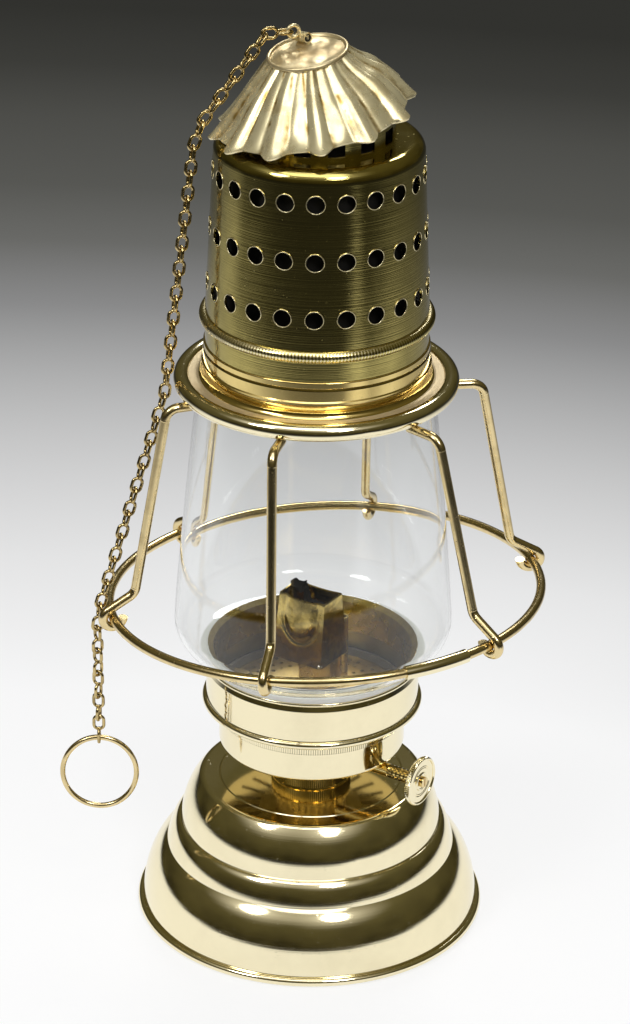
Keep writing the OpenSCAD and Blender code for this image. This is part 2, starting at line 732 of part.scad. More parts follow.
// Each wire lies in a plane through its upper end's direction and its place on the hoop
module guard_wire(k) {
    even = wire_turn + k * 360 / wire_count;
    top = even + top_turns[k];
    a = even + foot_turns[k];
    lean_short = (1 - cos(hoop_lean)) * pow(cos(a - hoop_high), 2);
    reach = hoop_reach(a) * (1 - lean_short);
    drop = wire_z - hoop_level(reach * [cos(a), sin(a)]);
    side = reach * sin(a - top);
    foot = [reach * cos(a - top), -norm([side, drop])];
    out = wire_out_r + (reach - hoop_r) / 2;
    along = [cos(wire_foot_fall), -sin(wire_foot_fall)];
    over = foot + hook_r * [sin(wire_foot_fall), cos(wire_foot_fall)];
    color("goldenrod") translate([0, 0, wire_z]) rotate([0, 0, top]) rotate([atan2(side, drop), 0, 0])
        rotate([90, 0, 0]) {
            bent_wire([[wire_in_r, 0], [out, 0], over - wire_foot * along, over], wire_bend_r, wire_d);
            translate(foot) bend(hook_r, wire_d, 90 - wire_foot_fall - hook_turn, hook_turn);
        }
}
module hoop_frame() {
    translate([hoop_shift, 0, hoop_z])
        rotate([0, 0, hoop_high]) rotate([0, -hoop_lean, 0]) rotate([0, 0, -hoop_high])
            children();
}
module guard_hoop() {
    color("goldenrod") hoop_frame() rotate_extrude() translate([hoop_r, 0]) circle(d = wire_d);
}
module hoop_ferrule() {
    color("gold") hoop_frame()
        rotate_extrude(angle = ferrule_span, start = ferrule_at - ferrule_span / 2)
            translate([hoop_r, 0]) difference() {
                circle(d = wire_d + 2 * ferrule_t);
                circle(d = wire_d + 2 * seat);
            }
}

// Hood
hood_slope = (hood_r - hood_top_r) / (hood_h - shoulder_r - hood_bead_h);
function hood_radius(h) = hood_r - hood_slope * max(h - hood_bead_h, 0);
module hood_shell() {
    mouth = vent_neck_r - hood_t;
    top = hood_h - shoulder_r;
    color("olive") translate([0, 0, hem_z]) difference() {
        rotate_extrude() union() {
            polygon(concat(
                [[hood_r, 0], [hood_r, hood_bead_h]],
                arc([hood_top_r - shoulder_r, top], shoulder_r, 0, 90),
                [[mouth, hood_h], [mouth, hood_h - hood_t]],
                arc([hood_top_r - shoulder_r, top], shoulder_r - hood_t, 90, 0),
                [[hood_in_r, hood_bead_h], [hood_in_r, 0]]
            ));
            translate([hood_r, 0]) square([hem_t, hem_h]);
            difference() {
                translate([hood_r, hood_bead_h]) circle(r = hood_bead);
                translate([0, hood_bead_h - hood_bead]) square([hood_in_r + hood_t / 2, 2 * hood_bead]);
            }
        }
        for (row = [0:hole_rows - 1])
            for (i = [0:hole_count - 1])
                rotate([0, 0, hole_turn + i * 360 / hole_count])
                    translate([hood_top_r / 2, 0, hole_low_h + row * hole_row_h])
                        rotate([0, 90, 0]) cylinder(r = hole_r, h = hood_r);
    }
}

// Plain wall behind the holes, hung from the hood's top
module wind_liner() {
    liner_r = hood_top_r - hood_t - liner_room;
    past = max(liner_r - (hood_top_r - shoulder_r), 0);
    high = hood_h - shoulder_r + sqrt(pow(shoulder_r - hood_t, 2) - past * past) - seat;
    color("dimgray") translate([0, 0, hem_z + liner_low_h]) tube(liner_r, liner_r - liner_t, high - liner_low_h);
}

// Crown, drawn about its own upright axis and then leaned
module in_crown() {
    translate([-crown_shift, 0, crown_z]) rotate([0, -crown_lean, 0]) children();
}
function flute(a) = pow((1 + cos(flute_count * (a - flute_turn))) / 2, 4) - 0.3;
function crown_line(t) = [
    crown_disc_r + (crown_r - crown_disc_r) * t,
    crown_h * pow(1 - t, crown_flare)
];
function crown_point(a, t, in) =
    let (p = crown_line(t) - in * unit([crown_h, crown_r - crown_disc_r]),
         r = p[0] + flute_depth * t * flute(a),
         z = p[1] - 0.5 * flute_depth * t * flute(a))
    [r * cos(a), r * sin(a), z];
crown_cols = 8 * flute_count;
crown_rows = 5;
module crown() {
    rings = concat([for (k = [0:crown_rows]) [k, 0]], [for (k = [crown_rows:-1:0]) [k, crown_t]]);
    n = len(rings);
    points = [
        for (g = rings)
            for (i = [0:crown_cols - 1])
                crown_point(flute_turn + i * 360 / crown_cols, g[0] / crown_rows, g[1])
    ];
    faces = [
        for (k = [0:n - 1])
            for (i = [0:crown_cols - 1])
                let (j = (i + 1) % crown_cols,
                     a = k * crown_cols,
                     b = ((k + 1) % n) * crown_cols)
                each [[a + i, a + j, b + i], [a + j, b + j, b + i]]
    ];
    color("khaki") in_crown() polyhedron(points = points, faces = faces);
}
module vent_neck() {
    below = (crown_t + 0.2 * flute_depth) * unit([crown_h, crown_r - crown_disc_r]);
    rest = [for (k = [0:crown_rows]) crown_line(k / crown_rows) - below];
    span = crown_z - hood_top + crown_h;
    window_w = PI * vent_neck_r / window_count;
    color("goldenrod") difference() {
        translate([0, 0, hood_top]) tube(vent_neck_r, vent_neck_r - hood_t, span);
        in_crown() rotate_extrude() polygon(concat(
            [[0, rest[0][1]]], rest,
            [[2 * crown_r, rest[crown_rows][1]], [2 * crown_r, 3 * crown_h], [0, 3 * crown_h]]
        ));
        for (i = [0:window_count - 1])
            rotate([0, 0, i * 360 / window_count])
                translate([vent_neck_r - 2 * hood_t, -window_w / 2, hood_top + window_sill])
                    cube([4 * hood_t, window_w, window_h]);
    }
}
module crown_disc() {
    color("khaki") in_crown() translate([0, 0, crown_h + seat]) difference() {
        union() {
            cylinder(r = crown_disc_r, h = crown_t);
            rotate_extrude() translate([crown_disc_r - disc_rim / 2, disc_rim]) circle(r = disc_rim);
        }
        translate([eye_right, eye_back, -cut]) cylinder(d = eye_d + 2 * seat, h = 2 * cut + crown_t);
    }
}

// Place of the eye's hole and ring
function lean_point(p) = [
    p[0] * cos(crown_lean) - p[2] * sin(crown_lean) - crown_shift,
    p[1],
    p[0] * sin(crown_lean) + p[2] * cos(crown_lean) + crown_z
];
eye_foot = lean_point([eye_right, eye_back, crown_h - 2]);
eye_neck = lean_point([eye_right, eye_back, crown_h + crown_t + eye_d]);
chain_u = [cos(chain_turn), sin(chain_turn)];
eye_mid = [
    eye_neck[0] + eye_reach * chain_u[0],
    eye_neck[1] + eye_reach * chain_u[1],
    eye_neck[2] - crown_t - eye_d + eye_up
];
module top_eye() {
    toward = unit(eye_neck - eye_mid);
    shank_d = eye_d - 2 * swell;
    color("goldenrod") {
        rod(eye_foot, eye_neck, shank_d);
        translate(eye_neck) sphere(d = eye_d);
        rod(eye_neck, eye_mid + eye_r * toward, shank_d);
        translate(eye_mid) rotate([0, 0, chain_turn]) rotate([90, 0, 0])
            rotate_extrude() translate([eye_r, 0]) circle(d = eye_d);
    }
}

// Chain, in the upright plane through the eye: s runs outwards from the eye, z up
chain_half = loop_r + chain_d / 2;
link_len = chain_pitch + chain_d + chain_play;
eye_xy = flat(eye_mid);
function at_s(s) = eye_xy + s * chain_u;
chain_start = [eye_r - eye_d / 2 - chain_d / 2 - chain_play, eye_mid[2]];
brim_s = ray_to_circle(eye_xy + [crown_shift, 0], chain_u, crown_r * cos(crown_lean) + flute_depth);
brim_z = crown_z + (at_s(brim_s)[0] + crown_shift) * tan(crown_lean);
over_disc = chain_start + chain_pitch * [cos(first_fall), -sin(first_fall)];
brim_stop = [brim_s + chain_half + 2 * chain_gap, brim_z + chain_half];
flange_stop = [ray_to_circle(eye_xy, chain_u, flange_r + chain_half + chain_gap), bead_z];
hoop_s = ray_to_circle(eye_xy - [hoop_shift, 0], chain_u, hoop_r + wire_d / 2 + chain_half + chain_gap);
hoop_stop = [hoop_s, hoop_level(at_s(hoop_s)) + wire_d / 2];
// Whole links that fit on the way from p to q, and the place they reach
function fit_links(p, q) = floor(norm(q - p) / chain_pitch);
function reach(p, q) = p + fit_links(p, q) * chain_pitch * unit(q - p);
// End of a link that turns down from p until it is s from the eye
function turn_down(p, s) = [s, p[1] - sqrt(pow(chain_pitch, 2) - pow(s - p[0], 2))];
brim_turn = reach(over_disc, brim_stop);
brim_end = turn_down(brim_turn, brim_stop[0] + 2 * chain_gap);
flange_n = fit_links(brim_end, flange_stop) + 1;
flange_end = brim_end + flange_n * chain_pitch * unit(flange_stop - brim_end);
hoop_turn = reach(flange_end, hoop_stop);
hoop_end = turn_down(hoop_turn, hoop_stop[0] + chain_gap);
tail_end = hoop_end - [0, tail_links * chain_pitch];
ring_mid = [tail_end[0], tail_end[1] + (ring_d - chain_d) / 2 - ring_r];
tail_twist = (chain_turn - 270) / tail_links;

module link_loop(len) {
    for (side = [-1, 1])
        translate([loop_r, side * loop_r, 0]) rotate([0, 90, 0]) cylinder(d = chain_d, h = len - 2 * loop_r);
    translate([loop_r, 0, 0]) bend(loop_r, chain_d, 90, 180);
    translate([len - loop_r, 0, 0]) bend(loop_r, chain_d, -90, 180);
}
module chain_link() {
    half = link_len / 2;
    link_loop(half);
    translate([half, 0, 0]) rotate([90, 0, 0]) link_loop(half);
}
// Links from p towards q in the chain's plane
module chain_run(p, q, n, twist = 0) {
    d = unit(q - p);
    for (i = [0:n - 1]) {
        c = p + i * chain_pitch * d;
        translate([at_s(c[0])[0], at_s(c[0])[1], c[1]])
            rotate([0, 0, chain_turn])
                rotate([0, -atan2(d[1], d[0]), 0])
                    rotate([twist * (i + 1), 0, 0])
                        chain_link();
    }
}
module chain_crown() {
    color("saddlebrown") {
        chain_run(chain_start, over_disc, 1);
        chain_run(over_disc, brim_stop, fit_links(over_disc, brim_stop));
        chain_run(brim_turn, brim_end, 1);
    }
}
module chain_upper() {
    color("saddlebrown") chain_run(brim_end, flange_stop, flange_n);
}
module chain_lower() {
    color("saddlebrown") {
        chain_run(flange_end, hoop_stop, fit_links(flange_end, hoop_stop));
        chain_run(hoop_turn, hoop_end, 1);
    }
}
module chain_tail() {
    color("saddlebrown") chain_run(hoop_end, tail_end, tail_links, tail_twist);
}
module finger_ring() {
    color("goldenrod") translate([at_s(ring_mid[0])[0], at_s(ring_mid[0])[1], ring_mid[1]])
        rotate([90, 0, 0]) rotate_extrude() translate([ring_r, 0]) circle(d = ring_d);
}

font_shell();
font_base_plate();
font_screw_collar();
burner_neck();
burner_cup();
air_plate();
wick_tube();
flame_deflector();
vent_tube();
spindle_sleeve();
wick_spindle();
spur_wheels();
thumb_knob();
wick();
globe_collar();
lower_seal();
glass_globe();
upper_seal();
top_flange();
guard_wire(0);  // guard_wire_1
guard_wire(1);  // guard_wire_2
guard_wire(2);  // guard_wire_3
guard_wire(3);  // guard_wire_4
guard_wire(4);  // guard_wire_5
guard_wire(5);  // guard_wire_6
guard_hoop();
hoop_ferrule();
hood_shell();
wind_liner();
vent_neck();
crown();
crown_disc();
top_eye();
chain_crown();
chain_upper();
chain_lower();
chain_tail();
finger_ring();
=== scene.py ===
import math

import bmesh
import bpy
from bpy.props import FloatProperty, FloatVectorProperty, IntProperty, PointerProperty
from mathutils import Matrix, Vector, noise


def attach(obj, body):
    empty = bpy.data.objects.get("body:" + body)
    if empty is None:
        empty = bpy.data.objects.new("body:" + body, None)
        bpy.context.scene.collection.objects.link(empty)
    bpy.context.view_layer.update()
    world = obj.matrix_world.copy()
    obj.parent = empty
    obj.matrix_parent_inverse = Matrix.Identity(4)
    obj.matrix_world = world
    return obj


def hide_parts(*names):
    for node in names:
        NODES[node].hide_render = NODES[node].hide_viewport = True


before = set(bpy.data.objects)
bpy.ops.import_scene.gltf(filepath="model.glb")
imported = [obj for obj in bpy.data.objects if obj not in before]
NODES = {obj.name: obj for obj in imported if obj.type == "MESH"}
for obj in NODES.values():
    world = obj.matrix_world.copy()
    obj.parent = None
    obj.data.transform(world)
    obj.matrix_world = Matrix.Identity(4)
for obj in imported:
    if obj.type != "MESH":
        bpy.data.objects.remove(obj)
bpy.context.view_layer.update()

bl_info = {
    "name": "Brass hand lantern",
    "version": (1, 0, 0),
    "blender": (4, 5, 0),
    "location": "3D View > Sidebar > Lantern",
    "description": "Dresses the lantern's solids with turned brass, glass, wire, chain and a studio",
    "category": "Object",
}

MM = 0.001
TURN = 2 * math.pi
UP = Vector((0, 0, 1))
PHOTO_LONG_SIDE = 1024
SENSOR_MM = 36.0

# Heights in millimetres, shared by the turned pieces
STEP_Z = 22.0
DOME_Z = 29.8
DOME_TOP = 45.0
CUP_TOP = 71.0
COLLAR_TOP = 86.0
GLASS_Z = 73.9
GLASS_TOP = 177.1
FLANGE_Z = 179.3
FLANGE_TOP = 180.3
FLANGE_BEAD_Z = 178.93
HEM_Z = 189.6
HOOD_BEAD_Z = HEM_Z + 9.8
HOOD_TOP = 254.6
CROWN_Z = 260.1
DEFLECTOR_Z = 86.0

# Radii and steps of the hood and the crown, in millimetres
HOOD_RADIUS = 33.0
HOLE_CELL = 1.15
CROWN_TOP_RADIUS = 11.4
CROWN_REACH = 17.9
CROWN_RISE = 20.0

# Set of the burner and the crown, in millimetres and radians
WICK_SET = 3.0
TO_BURNER = Matrix.Rotation(math.radians(-33), 4, "Z")
SPINDLE_AT = Vector((0.0, -1.0, 55.0))
CROWN_SHIFT = -1.5
CROWN_LEAN = math.radians(-9.8)
RIDGE_START = math.radians(4.5)

# Places of the two front lamps, in metres
LAMP_LEFT = (-0.81, -0.68, 1.16)
LAMP_RIGHT = (0.40, -0.98, 1.16)

# Values that each brass gives to the shared wear
WEAR = ("Patch scale", "Patch amount", "Line height", "Ripple height",
        "Speck amount", "Smooth", "Dull")


class LanternSizes(bpy.types.PropertyGroup):
    """Sizes of the dressed lantern."""

    font_radius: FloatProperty(
        name="Foot radius", description="Outside radius of the rolled foot rim, in millimetres",
        default=54.0, min=40.0, max=70.0)
    glass_wall: FloatProperty(
        name="Glass wall", description="Thickness of the blown globe, in millimetres",
        default=1.0, min=0.6, max=4.0)
    hole_radius: FloatProperty(
        name="Hood hole radius", description="Radius of the hood's air holes, in millimetres",
        default=2.65, min=1.5, max=3.0)
    hole_count: IntProperty(
        name="Holes in a row", description="Air holes in each row of the hood", default=22, min=12, max=26)
    flute_count: IntProperty(
        name="Flutes", description="Pressed ridges round the crown", default=12, min=6, max=18)
    flute_depth: FloatProperty(
        name="Flute depth", description="Depth of the crown's ridges at the brim, in millimetres",
        default=1.9, min=0.5, max=4.0)
    turned_steps: IntProperty(
        name="Turned facets", description="Facets round a turned piece", default=192, min=48, max=512)


def colour_property(name, description, default):
    """Colour that the panel shows."""
    return FloatVectorProperty(name=name, description=description, subtype="COLOR", size=3,
                               default=default, min=0.0, max=1.0)


class LanternFinish(bpy.types.PropertyGroup):
    """Colours of the dressed lantern."""

    polished: colour_property(
        "Polished brass", "Bright brass of the font, collars and flange", (0.92, 0.83, 0.57))
    tarnish: colour_property("Tarnish", "Brown film in patches on the brass", (0.36, 0.26, 0.10))
    hood: colour_property("Hood brass", "Darker turned brass of the hood", (0.56, 0.47, 0.16))
    crown: colour_property("Crown brass", "Pale worn brass of the crown", (1.0, 0.89, 0.56))
    chain: colour_property("Chain brass", "Aged brass of the chain", (0.58, 0.45, 0.21))


def sizes():
    """Sizes as the panel has them."""
    return bpy.context.scene.lantern_sizes


def finish():
    """Colours as the panel has them."""
    return bpy.context.scene.lantern_finish


# Shapes

def arc(centre, radius, start, end, count):
    """Points of an arc in the (radius, height) plane, angles in degrees."""
    points = []
    for i in range(count + 1):
        a = math.radians(start + (end - start) * i / count)
        points.append((centre[0] + radius * math.cos(a), centre[1] + radius * math.sin(a)))
    return points


def oval(start, end, turned, count):
    """Oval stretch from an upright start to an end that has turned by so many degrees."""
    full = math.radians(turned)
    points = []
    for i in range(count + 1):
        t = full * i / count
        points.append((start[0] + (end[0] - start[0]) * (1 - math.cos(t)) / (1 - math.cos(full)),
                       start[1] + (end[1] - start[1]) * math.sin(t) / math.sin(full)))
    return points


def bowed(start, rise, lean_from, lean_to, count):
    """Points that rise from a start while the line's lean to the axis changes, leans in degrees."""
    points = [start]
    for i in range(count):
        lean = math.radians(lean_from + (lean_to - lean_from) * (i + 0.5) / count)
        r, z = points[-1]
        points.append((r - math.tan(lean) * rise / count, z + rise / count))
    return points


def offset(points, distance):
    """The same line moved to its left."""
    moved = []
    for i, p in enumerate(points):
        a = points[max(i - 1, 0)]
        b = points[min(i + 1, len(points) - 1)]
        along = Vector((b[0] - a[0], b[1] - a[1])).normalized()
        moved.append((p[0] - along.y * distance, p[1] + along.x * distance))
    return moved


def mark_creases(bm, degrees):
    """Shades a bmesh smooth but for edges sharper than so many degrees."""
    limit = math.radians(degrees)
    for face in bm.faces:
        face.smooth = True
    for edge in bm.edges:
        if len(edge.link_faces) == 2 and edge.calc_face_angle(0.0) > limit:
            edge.smooth = False


def hold_edges(points, closed, gap=0.1):
    """Adds a point close to each end of a long straight stretch, so that its shading stays flat."""
    held = []
    last = len(points) if closed else len(points) - 1
    for i in range(last):
        a = Vector(points[i])
        b = Vector(points[(i + 1) % len(points)])
        held.append(tuple(a))
        if (b - a).length > 8 * gap:
            along = (b - a).normalized() * gap
            held += [tuple(a + along), tuple(b - along)]
    if not closed:
        held.append(points[-1])
    return held


def clean(bm):
    """Joins points that lie on each other and turns the faces outward."""
    bmesh.ops.remove_doubles(bm, verts=bm.verts, dist=1e-7)
    bmesh.ops.recalc_face_normals(bm, faces=bm.faces)


def wire_loop(bm, section, segments, radius, middle, axis, steps):
    """Adds a ring of round wire, a circle at its section's place turned about an axis."""
    made = bmesh.ops.create_circle(bm, segments=segments, radius=radius * MM, matrix=section)["verts"]
    edges = list({e for v in made for e in v.link_edges})
    bmesh.ops.spin(bm, geom=made + edges, cent=middle, axis=axis, angle=TURN, steps=steps,
                   use_merge=True, use_duplicate=False)


def spin_profile(points, steps=None, start=0.0, closed=True):
    """Bmesh of a (radius, height) outline in millimetres turned about Z."""
    bm = bmesh.new()
    way = Vector((math.cos(start), math.sin(start), 0.0))
    points = hold_edges(points, closed)
    verts = [bm.verts.new(way * (r * MM) + Vector((0, 0, z * MM))) for r, z in points]
    pairs = list(zip(verts, verts[1:]))
    if closed:
        pairs.append((verts[-1], verts[0]))
    edges = [bm.edges.new(pair) for pair in pairs]
    bmesh.ops.spin(bm, geom=verts + edges, cent=(0, 0, 0), axis=(0, 0, 1), angle=TURN,
                   steps=steps or sizes().turned_steps, use_merge=True, use_duplicate=False)
    clean(bm)
    return bm


def column(at, steps):
    """Place of a point round the axis, counted in steps."""
    return math.atan2(at.y, at.x) / TURN * steps


def press_in(v, depth):
    """Moves a point towards the axis by so many millimetres."""
    left = 1 - depth * MM / math.hypot(v.co.x, v.co.y)
    v.co.x *= left
    v.co.y *= left


def mill(bm, steps, low, high, depth, radius, dark_slot=0):
    """Presses in every other column between two heights, outside a radius, and gives one flank of each
    groove a second, darker finish.
    """
    for face in bm.faces:
        middle = face.calc_center_median()
        if low * MM < middle.z < high * MM and middle.to_2d().length > radius * MM:
            if math.floor(column(middle, steps)) % 2:
                face.material_index = dark_slot
    for v in bm.verts:
        r = math.hypot(v.co.x, v.co.y)
        if low * MM < v.co.z < high * MM and r > radius * MM:
            if round(column(v.co, steps)) % 2:
                press_in(v, depth)


def looks_out(face):
    """Positive where a face looks away from the axis."""
    return face.normal.to_2d().dot(face.calc_center_median().to_2d())


def line_inside(bm, limit):
    """Gives the second finish to faces that look to the axis."""
    for face in bm.faces:
        if looks_out(face) < limit:
            face.material_index = 1


def clamped(value):
    """Value held between 0 and 1."""
    return min(max(value, 0.0), 1.0)


def standing_box(wide, deep, tall):
    """Bmesh of a box that stands on the middle of its foot."""
    bm = bmesh.new()
    bmesh.ops.create_cube(bm, size=1.0)
    stand = Matrix.Diagonal((wide, deep, tall, 1.0)) @ Matrix.Translation((0, 0, 0.5))
    move(bm, stand)
    return bm


def edges_along(bm, axis):
    """Edges of a box that run along an axis, from 0 for x to 2 for z."""
    return [e for e in bm.edges if abs(e.verts[0].co[axis] - e.verts[1].co[axis]) > 1]


def mesh_of(name, bm):
    """Mesh of a bmesh, which it frees."""
    mesh = bpy.data.meshes.new(name)
    bm.to_mesh(mesh)
    bm.free()
    return mesh


def add_object(name, data):
    """New object in the scene."""
    made = bpy.data.objects.new(name, data)
    bpy.context.scene.collection.objects.link(made)
    return made


def move(bm, matrix):
    """Moves a whole bmesh by a matrix."""
    bmesh.ops.transform(bm, matrix=matrix, verts=bm.verts)


def make_piece(name, bm, body, materials, replaces=(), creases=38):
    """Turns a bmesh into a finished piece that rides on a body."""
    mark_creases(bm, creases)
    mesh = mesh_of(name, bm)
    for material in materials:
        mesh.materials.append(material)
    piece = add_object(name, mesh)
    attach(piece, body)
    if replaces:
        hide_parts(*replaces)
    return piece


def rod_bmesh(points, radius, sides=16):
    """Bmesh of a round rod of a radius in millimetres along points in millimetres."""
    curve = bpy.data.curves.new("rod_path", "CURVE")
    curve.dimensions = "3D"
    curve.bevel_depth = radius * MM
    curve.bevel_resolution = max(sides // 4 - 1, 1)
    curve.use_fill_caps = True
    spline = curve.splines.new("POLY")
    spline.points.add(len(points) - 1)
    for target, p in zip(spline.points, points):
        target.co = (p[0] * MM, p[1] * MM, p[2] * MM, 1.0)
    holder = add_object("rod_path", curve)
    bpy.context.view_layer.update()
    mesh = bpy.data.meshes.new_from_object(holder.evaluated_get(bpy.context.evaluated_depsgraph_get()))
    bm = bmesh.new()
    bm.from_mesh(mesh)
    bpy.data.objects.remove(holder)
    bpy.data.curves.remove(curve)
    bpy.data.meshes.remove(mesh)
    clean(bm)
    return bm


def join_bmesh(target, extra):
    """Adds one bmesh to another and frees it."""
    mesh = mesh_of("joined", extra)
    target.from_mesh(mesh)
    bpy.data.meshes.remove(mesh)


def burner_matrix(x):
    """Places a piece turned about Z along the wick spindle, x millimetres out."""
    place = Matrix.Translation(Vector((x, SPINDLE_AT.y, SPINDLE_AT.z)) * MM)
    return TO_BURNER @ place @ Matrix.Rotation(math.pi / 2, 4, "Y")


# Finishes

def node(tree, kind, **values):
    """New node of a kind with its settings."""
    made = tree.nodes.new(kind)
    for key, value in values.items():
        setattr(made, key, value)
    return made


def feed(tree, source, target):
    """Links an output to an input."""
    tree.links.new(source, target)


def ramp_between(tree, value, low, high):
    """Value stretched so that low gives 0 and high gives 1."""
    made = node(tree, "ShaderNodeMapRange")
    made.inputs["From Min"].default_value = low
    made.inputs["From Max"].default_value = high
    feed(tree, value, made.inputs["Value"])
    return made.outputs["Result"]


def noise_at(tree, coords, scale, detail=4.0, roughness=0.55, stretch=None):
    """Noise from 0 to 1, stretched along the axes where a stretch is given."""
    if stretch:
        mapping = node(tree, "ShaderNodeMapping")
        mapping.inputs["Scale"].default_value = stretch
        feed(tree, coords, mapping.inputs["Vector"])
        coords = mapping.outputs["Vector"]
    made = node(tree, "ShaderNodeTexNoise")
    made.inputs["Scale"].default_value = scale
    made.inputs["Detail"].default_value = detail
    made.inputs["Roughness"].default_value = roughness
    feed(tree, coords, made.inputs["Vector"])
    return made.outputs["Fac"]


def maths(tree, operation, a, b=0.0):
    """Result of a sum on two numbers or sockets."""
    made = node(tree, "ShaderNodeMath", operation=operation)
    for socket, value in zip(made.inputs, (a, b)):
        if isinstance(value, (int, float)):
            socket.default_value = value
        else:
            feed(tree, value, socket)
    return made.outputs[0]


def vector_maths(tree, operation, a, b=None):
    """Result of a sum on a vector, and on a second one where it is given."""
    made = node(tree, "ShaderNodeVectorMath", operation=operation)
    feed(tree, a, made.inputs[0])
    if b is not None:
        made.inputs[1].default_value = b
    return made.outputs


def colour_mix(tree, factor, a, b):
    """Colour between two colours or two sockets."""
    made = node(tree, "ShaderNodeMix", data_type="RGBA")
    feed(tree, factor, made.inputs["Factor"])
    for socket, value in ((made.inputs["A"], a), (made.inputs["B"], b)):
        if isinstance(value, (tuple, list)):
            socket.default_value = (*value, 1.0)
        else:
            feed(tree, value, socket)
    return made.outputs["Result"]


def metal_wear_group():
    """Shared wear of the brass: tarnish patches, turning lines, pits and dull specks."""
    name = "metal_wear"
    if name in bpy.data.node_groups:
        return bpy.data.node_groups[name]
    tree = bpy.data.node_groups.new(name, "ShaderNodeTree")
    plug = tree.interface.new_socket
    plug("Bright", in_out="INPUT", socket_type="NodeSocketColor")
    plug("Tarnish", in_out="INPUT", socket_type="NodeSocketColor")
    for label in WEAR:
        plug(label, in_out="INPUT", socket_type="NodeSocketFloat")
    plug("Colour", in_out="OUTPUT", socket_type="NodeSocketColor")
    plug("Roughness", in_out="OUTPUT", socket_type="NodeSocketFloat")
    plug("Height", in_out="OUTPUT", socket_type="NodeSocketFloat")
    given = node(tree, "NodeGroupInput").outputs
    wanted = node(tree, "NodeGroupOutput").inputs
    coords = object_coords(tree)
    patch = node(tree, "ShaderNodeTexNoise")
    patch.inputs["Detail"].default_value = 7.0
    patch.inputs["Roughness"].default_value = 0.62
    feed(tree, coords, patch.inputs["Vector"])
    feed(tree, given["Patch scale"], patch.inputs["Scale"])
    patches = ramp_between(tree, patch.outputs["Fac"], 0.45, 0.72)
    patches = maths(tree, "MULTIPLY", patches, given["Patch amount"])
    dots = node(tree, "ShaderNodeTexVoronoi")
    dots.inputs["Scale"].default_value = 420.0
    feed(tree, coords, dots.inputs["Vector"])
    speck = ramp_between(tree, dots.outputs["Distance"], 0.13, 0.07)
    speck = maths(tree, "MULTIPLY", speck, given["Speck amount"])
    lines = noise_at(tree, coords, 1.0, 3.0, 0.7, (6.0, 6.0, 2600.0))
    ripple = noise_at(tree, coords, 70.0, 3.0, 0.5)
    feed(tree, colour_mix(tree, patches, given["Bright"], given["Tarnish"]), wanted["Colour"])
    rough = maths(tree, "ADD", maths(tree, "MULTIPLY", patches, given["Dull"]), given["Smooth"])
    feed(tree, maths(tree, "ADD", rough, maths(tree, "MULTIPLY", speck, 0.5)), wanted["Roughness"])
    height = maths(tree, "MULTIPLY", lines, given["Line height"])
    height = maths(tree, "ADD", height, maths(tree, "MULTIPLY", ripple, given["Ripple height"]))
    feed(tree, height, wanted["Height"])
    return tree


def new_material(name):
    """New material, its node tree and its shader."""
    material = bpy.data.materials.new(name)
    material.use_nodes = True
    tree = material.node_tree
    return material, tree, tree.nodes["Principled BSDF"]


def object_coords(tree):
    """Object coordinates, which move with a piece."""
    return node(tree, "ShaderNodeTexCoord").outputs["Object"]


def split_axes(tree, vector):
    """The three parts of a vector."""
    split = node(tree, "ShaderNodeSeparateXYZ")
    feed(tree, vector, split.inputs["Vector"])
    return split.outputs


def mix_surface(tree, factor, first, second, output):
    """Gives an output node the mix of two shaders."""
    both = node(tree, "ShaderNodeMixShader")
    feed(tree, factor, both.inputs["Fac"])
    feed(tree, first, both.inputs[1])
    feed(tree, second, both.inputs[2])
    feed(tree, both.outputs["Shader"], tree.nodes[output].inputs["Surface"])


def seen_rays(tree, path):
    """1 for rays of the camera, for reflected ones and for those through glass."""
    seen = maths(tree, "MAXIMUM", path["Is Camera Ray"], path["Is Glossy Ray"])
    return maths(tree, "MAXIMUM", seen, path["Is Transmission Ray"])


def brass(name, bright, tarnish, patch_scale=90.0, patch_amount=0.6, line_height=0.0, ripple_height=0.6,
          specks=0.3, smooth=0.1, dull=0.2, bump=0.1, metallic=1.0, under=None, shaded_ridges=0):
    """Brass with the shared wear, and with painted shade on undersides and on the ridges' flanks where it
    has them.
    """
    if name in bpy.data.materials:
        return bpy.data.materials[name]
    material, tree, shader = new_material(name)
    shader.inputs["Metallic"].default_value = metallic
    wear = node(tree, "ShaderNodeGroup")
    wear.node_tree = metal_wear_group()
    wear.inputs["Bright"].default_value = (*bright, 1.0)
    wear.inputs["Tarnish"].default_value = (*tarnish, 1.0)
    values = (patch_scale, patch_amount, line_height, ripple_height, specks, smooth, dull)
    for label, value in zip(WEAR, values):
        wear.inputs[label].default_value = value
    bumps = node(tree, "ShaderNodeBump")
    bumps.inputs["Strength"].default_value = bump
    bumps.inputs["Distance"].default_value = 0.0004
    colour = wear.outputs["Colour"]
    # Faces that look down get a darker golden colour: painted shade on undersides.
    if under:
        facing = split_axes(tree, node(tree, "ShaderNodeTexCoord").outputs["Normal"])
        colour = colour_mix(tree, ramp_between(tree, facing["Z"], -0.4, -0.7), colour, under)
    # Dark brown painted shade on the flanks of the crown's ridges.
    if shaded_ridges:
        colour = colour_mix(tree, flank_painted_shade(tree, shaded_ridges), colour, (0.36, 0.23, 0.05))
    feed(tree, colour, shader.inputs["Base Color"])
    feed(tree, wear.outputs["Roughness"], shader.inputs["Roughness"])
    feed(tree, wear.outputs["Height"], bumps.inputs["Height"])
    feed(tree, bumps.outputs["Normal"], shader.inputs["Normal"])
    return material


